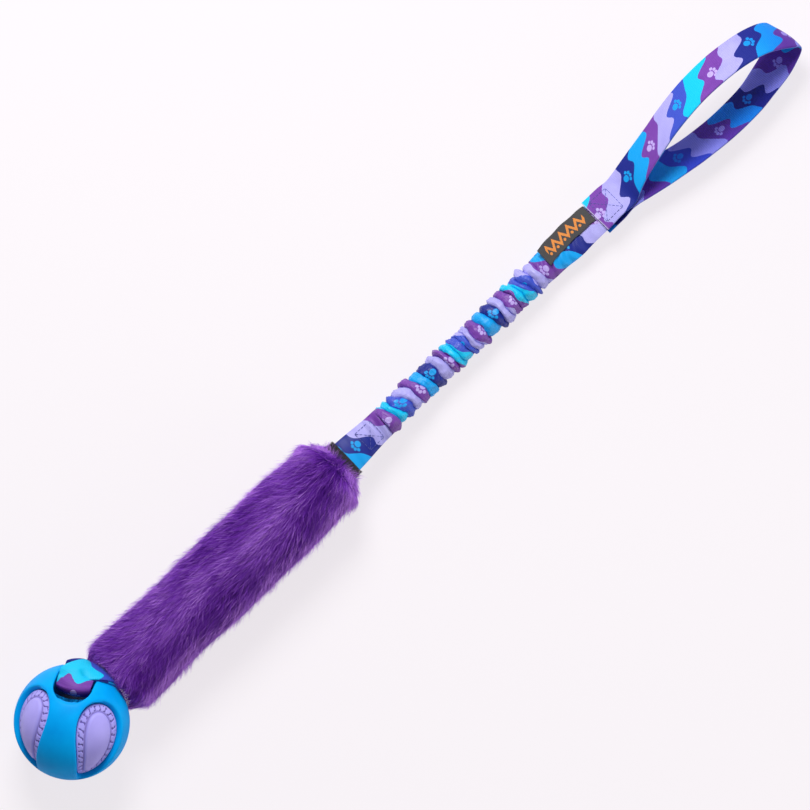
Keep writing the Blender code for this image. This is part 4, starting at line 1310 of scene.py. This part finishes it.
def build_cover(seed=9):
    """The cover's points and faces, the cloth's length at each row, the painted shade for how far down a
    crease it lies, and all its cloth.
    """
    dice = np.random.default_rng(seed)
    pitch = dice.uniform(0.72, 1.28, FOLDS)
    edges = np.concatenate([[0], np.cumsum(pitch)]) / pitch.sum()
    angle = around(FOLD_SIDES)
    border = edges[:, None] * (COVER_END - COVER_START) + COVER_START
    loose = np.minimum(1, np.minimum(edges, 1 - edges) * 10)[:, None]
    slant = dice.uniform(0.0006, 0.0026, FOLDS + 1)[:, None]
    border = border + loose * slant * np.cos(angle - dice.uniform(-0.5, 0.5, FOLDS + 1)[:, None])
    for times, size in ((2, 0.00075), (3, 0.00040), (7, 0.00018)):
        border = border + loose * size * np.sin(times * angle + dice.uniform(0, 6, FOLDS + 1)[:, None])
    border = np.maximum.accumulate(border + np.arange(FOLDS + 1)[:, None] * 1e-6, axis=0)
    height = dice.uniform(0.70, 1.06, FOLDS)[:, None]
    for times, size in ((1, 0.13), (2, 0.10), (5, 0.05)):
        height = height * (1 + size * np.sin(angle * times + dice.uniform(0, 6, FOLDS)[:, None]))
    crest = dice.uniform(0.35, 0.65, FOLDS)
    rows_x, rows_radius, along, deep = [], [], [], []
    travelled = 0.0
    for fold in range(FOLDS):
        steps = FOLD_STEPS + (fold == FOLDS - 1)
        low, gap = border[fold], border[fold + 1] - border[fold]
        for share in np.arange(steps) / FOLD_STEPS:
            phi = 2 * np.pi * share
            phi = phi + (0.5 - crest[fold]) * 1.4 * math.sin(phi / 2) ** 2
            swell = ((1 - math.cos(phi)) / 2) ** 0.62
            second = 0.07 * math.sin(2 * phi + fold) * math.sin(phi / 2)
            rows_x.append(low + gap * share - gap / (2 * np.pi) * OVERHANG * math.sin(phi))
            rows_radius.append(COVER_VALLEY + (COVER_RADIUS - COVER_VALLEY) * (swell + second) * height[fold])
            deep.append((1 - swell) ** 2)
            along.append(travelled + share * FOLD_CLOTH * pitch[fold])
        travelled += FOLD_CLOTH * pitch[fold]
    x = np.array(rows_x)
    ring = circle(FOLD_SIDES)[None] * np.array(rows_radius)[..., None]
    place, across, normal = spine_frames(x)
    flat = (place + across * ring[..., :1] + normal * ring[..., 1:]).reshape(-1, 3)
    crumple = np.array([noise.noise(Vector(p) * 380) + 0.5 * noise.noise(Vector(p) * 950) for p in flat])
    ringed = flat * np.array([1350, 260, 260])
    crumple = crumple + 0.9 * np.array([noise.noise(Vector(p)) for p in ringed])
    flat = flat + unit(flat - place.reshape(-1, 3)) * (crumple * CRUMPLE)[:, None]
    flat[:, 2] = np.maximum(flat[:, 2], 0.0002 + 0.0001 * crumple)
    along, deep = (np.broadcast_to(np.array(values)[:, None], x.shape) for values in (along, deep))
    return flat, ring_faces(len(x), FOLD_SIDES), along, deep, travelled


cover_points, cover_faces, cover_along, cover_painted_shade, cover_cloth = build_cover()
cover = mesh_piece("gathered_cover", cover_points, cover_faces, cover_print)
# Painted shade: the creases between the rolls are painted darker, the more the deeper they lie.
write_attribute(cover, "inside", cover_painted_shade * CREASE_SHADE)
cover_side = np.broadcast_to(0.0105 * np.cos(around(FOLD_SIDES)), cover_along.shape)
lay_map(cover, "cloth", np.stack([COVER_MAP - cover_along, cover_side], -1).reshape(-1, 2))
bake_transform(cover)
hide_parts("bungee_cover")
print("gathered cover", len(cover.data.polygons), "faces from", round(cover_cloth * 1000), "mm of cloth")

# %% Elastic cord
CORD_RADIUS = 0.0039

elastic_paint = Paint("elastic cord", 0.8)
u, v = elastic_paint.cloth_place()
braid = ((u + v * 1.5) * 2.6).sin() * ((u - v * 1.5) * 2.6).sin()
elastic_paint.colour(elastic_paint.blend(0.5 + braid * 0.5, ink(150, 148, 142), ink(226, 224, 216)))
elastic_paint.bump(braid, 0.0003, 0.8)
cord_x = np.linspace(COVER_START + 0.0002, COVER_END - 0.0002, 60)
elastic = sweep("elastic", *spine_frames(cord_x), circle(32) * CORD_RADIUS, elastic_paint)
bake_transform(elastic)
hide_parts("bungee_cord")
print("elastic", round(float(cord_x[-1] - cord_x[0]) * 1000, 1), "mm")

# %% [markdown]
# ## Upper end of the tube
#
# Above the gathers the tube opens flat again and runs under the handle's sewn root. It starts with
# the last creases of the gathers and ends smooth.

# %% Upper end
UPPER_STATIONS = 150
UPPER_NARROW, UPPER_WIDE = 0.0185, 0.0220
UPPER_HIGH, UPPER_LOW = 0.0150, 0.0039
CREASE_HEIGHT = 0.00091

upper_x = np.linspace(UPPER_START - 0.0015, UPPER_END - 0.0002, UPPER_STATIONS)
upper_share = np.linspace(0, 1, UPPER_STATIONS)
upper_width = mix(UPPER_NARROW, UPPER_WIDE, smooth_step(upper_share * 2.2))
upper_width += 0.0006 * np.sin(upper_share * 19) * (1 - upper_share)
upper_height = mix(UPPER_HIGH, UPPER_LOW, smooth_step(upper_share * 2.1))
upper_sections = np.stack([lens_section(w, h, 96) for w, h in zip(upper_width, upper_height)])
upper_side = upper_sections[:, :, 0]
upper_waves = np.sin(upper_x[:, None] * 980 + 150 * upper_side + 2.2 * np.sin(upper_side * 260))
ruck(upper_sections, CREASE_HEIGHT * np.clip(1 - upper_share * 1.5, 0.12, 1)[:, None] * upper_waves)
upper_lengths = COVER_MAP - cover_cloth - (upper_x - upper_x[0]) * 1.25
upper = sweep("upper_tube", *spine_frames(upper_x), upper_sections, tube_print, lengths=upper_lengths)
tidy_mesh(upper, 1e-7)
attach(upper, "anchor")
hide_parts("upper_end")
print("upper end", round(float(upper_x[-1] - upper_x[0]) * 1000, 1), "mm")

# %% [markdown]
# ## Handle
#
# The handle is one length of webbing. Its two ends are sewn over and under the end of the tube, and
# between them it opens into a teardrop loop that leans over and lies flat at its tip.

# %% Handle webbing
HANDLE_WIDTH, HANDLE_THICKNESS = 0.025, 0.0017
PAIR_OFFSET = 0.00105
LEG_OFFSET = 0.00315
ROOT_TAPER_X, ROOT_TAPER = (0.3335, 0.3405), (LEG_OFFSET, 1.5 * PAIR_OFFSET)
LEG_KEYS = [
    (ROOT_START, LEG_OFFSET),
    (0.3270, LEG_OFFSET),
    (ROOT_TAPER_X[0], 0.98 * LEG_OFFSET),
    (ROOT_TAPER_X[1], ROOT_TAPER[1]),
]
HANDLE_STEPS = 12
TIP_REACH, TIP_RADIUS = 26.0, 0.03125
HANDLE_PRINT_START = -0.0245

# Along the webbing: x, y and z in millimetres, then its roll and its turn seen from above in degrees.
NEAR = [
    (346.0, 1.5, 12.0, 25, 3), (353.0, 3.6, 15.2, 29, 9), (363.0, 6.2, 20.2, 35, 12),
    (378.8, 9.6, 27.0, 40, 12), (392.1, 12.4, 32.3, 42, 9), (406.5, 14.4, 36.6, 42, 6),
    (419.9, 15.4, 39.2, 42, 1), (435.2, 15.2, 40.4, 40, -4), (447.8, 14.0, 40.0, 38, -8),
    (459.3, 12.0, 38.2, 33, -12), (468.6, 9.4, 35.4, 26, -14), (476.6, 6.0, 31.6, 17, -15),
    (481.6, 2.8, 27.2, 10, -14), (483.2, 0.4, 22.6, 8, -13),
]
FAR = [
    (481.4, -2.2, 18.2, 11, -12), (476.0, -5.2, 15.2, 20, -9), (466.5, -8.8, 12.6, 29, -3),
    (452.3, -11.6, 10.8, 36, 0), (441.1, -13.4, 9.6, 39, 2), (427.3, -14.0, 9.0, 40, 3),
    (415.1, -13.8, 8.9, 41, -3), (403.5, -12.9, 8.9, 41, -5), (392.0, -11.6, 8.9, 40, -7),
    (382.4, -9.9, 8.9, 38, -9), (368.0, -6.9, 8.9, 33, -10), (355.0, -3.6, 9.0, 28, -9),
    (346.5, -1.3, 9.2, 25, -4),
]


def leg_keys(side):
    """The sewn-down end of the webbing, over (1) or under (-1) the end of the tube."""
    keys = []
    for x, lift in LEG_KEYS:
        place, _, normal = (values[0] for values in spine_frames([x]))
        roll = ROOT_ROLL if x > 0.335 else spine_roll(x)
        keys.append((*(place + side * normal * lift) * 1000, math.degrees(roll), 0.0))
    return keys


handle_rows = smooth_run(leg_keys(1) + NEAR + FAR + leg_keys(-1)[::-1], HANDLE_STEPS)
handle_places = handle_rows[:, :3] * MM
handle_along = unit(np.gradient(handle_places, axis=0))
roll, yaw = np.radians(handle_rows[:, 3]), np.radians(handle_rows[:, 4])
handle_across = np.stack([-np.sin(yaw) * np.cos(roll), -np.cos(yaw) * np.cos(roll), np.sin(roll)], -1)
handle_across = unit(handle_across - handle_along * (handle_across * handle_along).sum(1, keepdims=True))
handle_normal = unit(np.cross(handle_across, handle_along))
flat_webbing = strip_section(HANDLE_WIDTH, HANDLE_THICKNESS, 25)
row_number = np.arange(len(handle_rows))
tip_row = HANDLE_STEPS * (len(LEG_KEYS) + len(NEAR) - 1)
cup = arch(np.exp(-(((row_number - tip_row) / TIP_REACH) ** 2)), flat_webbing, TIP_RADIUS)
handle = sweep(
    "handle_webbing",
    handle_places,
    handle_across,
    handle_normal,
    arched(flat_webbing, cup),
    handle_print,
    start=HANDLE_PRINT_START,
)
# Painted shade: the handle's inner face, and the strand near its tip where it turns from the light, are
# painted darker through the inside attribute.
on_inside = np.broadcast_to(smooth_step(0.5 - flat_webbing[:, 1] / 0.0006), cup.shape)
near_tip = np.broadcast_to(smooth_step((handle_places[:, 0] - 0.448) / 0.034)[:, None], cup.shape)
write_attribute(handle, "inside", np.maximum(on_inside, 0.85 * near_tip))
write_attribute(handle, "back", on_inside)
write_attribute(handle, "cut_end", np.repeat(np.clip(1.6 - 1.2 * row_number, 0, 1), len(flat_webbing)))
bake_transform(handle)
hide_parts("handle_root", "handle_throat", "handle_loop")

# %% [markdown]
# ## Label
#
# A charcoal woven label is sewn in under the handle's root and lies along the tube. It has a plain
# woven zigzag with dots, in orange. The weave is two fine waves, and the zigzag is where the distance
# from a folded line is small.

# %% Label
LABEL_LENGTH, LABEL_WIDTH = 0.0400, 0.0125
LABEL_THICKNESS = 0.0009
LABEL_HINGE = 0.3191
LABEL_LIFT, LABEL_ASIDE = 0.00275, 0.0044
ZIGZAG_PITCH = 6.4

label_paint = Paint("woven label", 0.75)
u, v = label_paint.cloth_place()
weave = (u * 9.0).sin() * 0.5 + (v * 12.0).sin() * 0.5
turn = (u / ZIGZAG_PITCH).wrap(1.0) - 0.5
line = (v - (turn.size() * 11.0 - 3.0)).size().under(1.55)
dot_u, dot_v = turn * ZIGZAG_PITCH, v - 2.2
dot = (dot_u * dot_u + dot_v * dot_v).under(0.9)
shown = line.larger(dot) * (u - 20.6).size().under(16.2)
base = label_paint.blend(0.5 + weave * 0.3, ink(48, 47, 48), ink(76, 74, 75))
orange = label_paint.blend(0.5 + weave * 0.4, ink(196, 112, 40), ink(240, 156, 76))
label_paint.colour(label_paint.blend(shown, base, orange))
label_paint.bump(weave + shown * 0.8, 0.00012, 0.6)

label_x = np.linspace(LABEL_HINGE, LABEL_HINGE - LABEL_LENGTH, 60)
label_share = np.linspace(0, 1, 60)
label_places, label_across, label_normal = spine_frames(label_x)
label_curl = 0.0011 * smooth_step((label_share - 0.72) / 0.28) ** 2
label_rise = LABEL_LIFT + label_curl + 0.0002 * np.sin(label_share * 7)
tube_lift = (np.interp(label_x, upper_x, upper_height) / 2 - 0.0020) * 0.9
label_side = LABEL_ASIDE + 0.0011 * np.sin(np.pi * label_share) + 0.0002 * np.sin(label_share * 17)
label_places = label_places - label_across * label_side[:, None]
label_places = label_places + label_normal * (label_rise + tube_lift)[:, None]
label_section = strip_section(LABEL_WIDTH, LABEL_THICKNESS, 15)
label = sweep("woven_label", label_places, label_across, label_normal, label_section, label_paint)
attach(label, "label")
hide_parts("label")
print("label", LABEL_LENGTH * 1000, "by", LABEL_WIDTH * 1000, "mm")

# %% [markdown]
# ## Stitching
#
# The flat ends are sewn down with a box and a cross in dark thread. Each stitch is a short rod with
# rounded ends, pressed into the cloth at both ends, and the stitches follow the corners of the box.

# %% Stitching
thread_paint = Paint("dark thread", 0.7)
twist = thread_paint.noise(3000, 2)
thread_paint.colour(thread_paint.ramp(twist, [(0.3, ink(62, 66, 140)), (0.7, ink(96, 104, 180))]))
thread_paint.bump(twist, 0.0001, 0.6)
STITCH = 0.0026
THREAD = 0.00017
ROD_STEPS, ROD_SIDES = 7, 6


def sewn_lines(corners):
    """Stitch ends along the box and across it, as pairs of (along, across)."""
    stitches = []
    route = [np.array(corners[k]) for k in (0, 1, 2, 3, 0, 2, 3, 1)]
    for first, last in zip(route, route[1:]):
        count = max(1, round(float(np.linalg.norm(last - first)) / STITCH))
        for k in range(count):
            stitches.append((mix(first, last, (k + 0.05) / count), mix(first, last, (k + 0.95) / count)))
    return stitches


def build_stitches(name, middle, corners, height):
    """Rods of thread over the flat webbing, at that height over its middle line."""
    points, faces = [], []
    share = np.linspace(0, 1, ROD_STEPS)
    ring = circle(ROD_SIDES)
    for first, last in sewn_lines(corners):
        flat = first[None] + (last - first)[None] * share[:, None]
        place, across, normal = spine_frames(middle + flat[:, 0])
        centre = place + across * flat[:, 1:2] + normal * height(middle + flat[:, 0], flat[:, 1])[:, None]
        centre = centre - normal * (0.0004 * np.abs(2 * share - 1) ** 5)[:, None]
        along = unit(np.gradient(centre, axis=0))
        aside = unit(np.cross(along, normal))
        width = THREAD * np.sqrt(np.clip(1 - (2 * share - 1) ** 6, 0.02, 1))
        start = len(points) * ROD_SIDES
        around_rod = aside[:, None] * ring[None, :, :1] + normal[:, None] * ring[None, :, 1:]
        points.extend(centre[:, None] + width[:, None, None] * around_rod)
        faces.extend((ring_faces(ROD_STEPS, ROD_SIDES) + start).tolist())
        faces.append(range(start, start + ROD_SIDES))
        faces.append(range(start + (ROD_STEPS - 1) * ROD_SIDES, start + ROD_STEPS * ROD_SIDES))
    made = mesh_piece(name, np.concatenate(points), faces, thread_paint)
    tidy_mesh(made, 1e-8)
    return made


def over_lower_end(x, side):
    """The height of the lower end's face, with room for the thread."""
    width, height = np.interp(x, lower_x, lower_width), np.interp(x, lower_x, lower_height)
    return height / 2 * np.clip(1 - (2 * side / width) ** 2, 0, 1) ** (LENS_POWER / 2) + 0.00034


def over_root(x, side):
    """The height of the handle's sewn root."""
    return np.interp(x, ROOT_TAPER_X, ROOT_TAPER) + HANDLE_THICKNESS / 2 + 0.00012


lower_cross = build_stitches(
    "lower_cross_stitch",
    LOWER_START + 0.0195,
    [(-0.0060, -0.0070), (0.0062, -0.0066), (0.0058, 0.0068), (-0.0056, 0.0070)],
    over_lower_end,
)
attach(lower_cross, "bungee")
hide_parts("lower_stitching")

upper_cross = build_stitches(
    "upper_cross_stitch",
    ROOT_START + 0.0100,
    [(-0.0068, -0.0088), (0.0070, -0.0086), (0.0070, 0.0088), (-0.0066, 0.0086)],
    over_root,
)
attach(upper_cross, "anchor")
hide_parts("upper_stitching")

hidden_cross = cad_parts["strap_stitching"]
hidden_cross.data.materials.clear()
hidden_cross.data.materials.append(thread_paint.material)
print("stitching", len(lower_cross.data.polygons) + len(upper_cross.data.polygons), "faces")
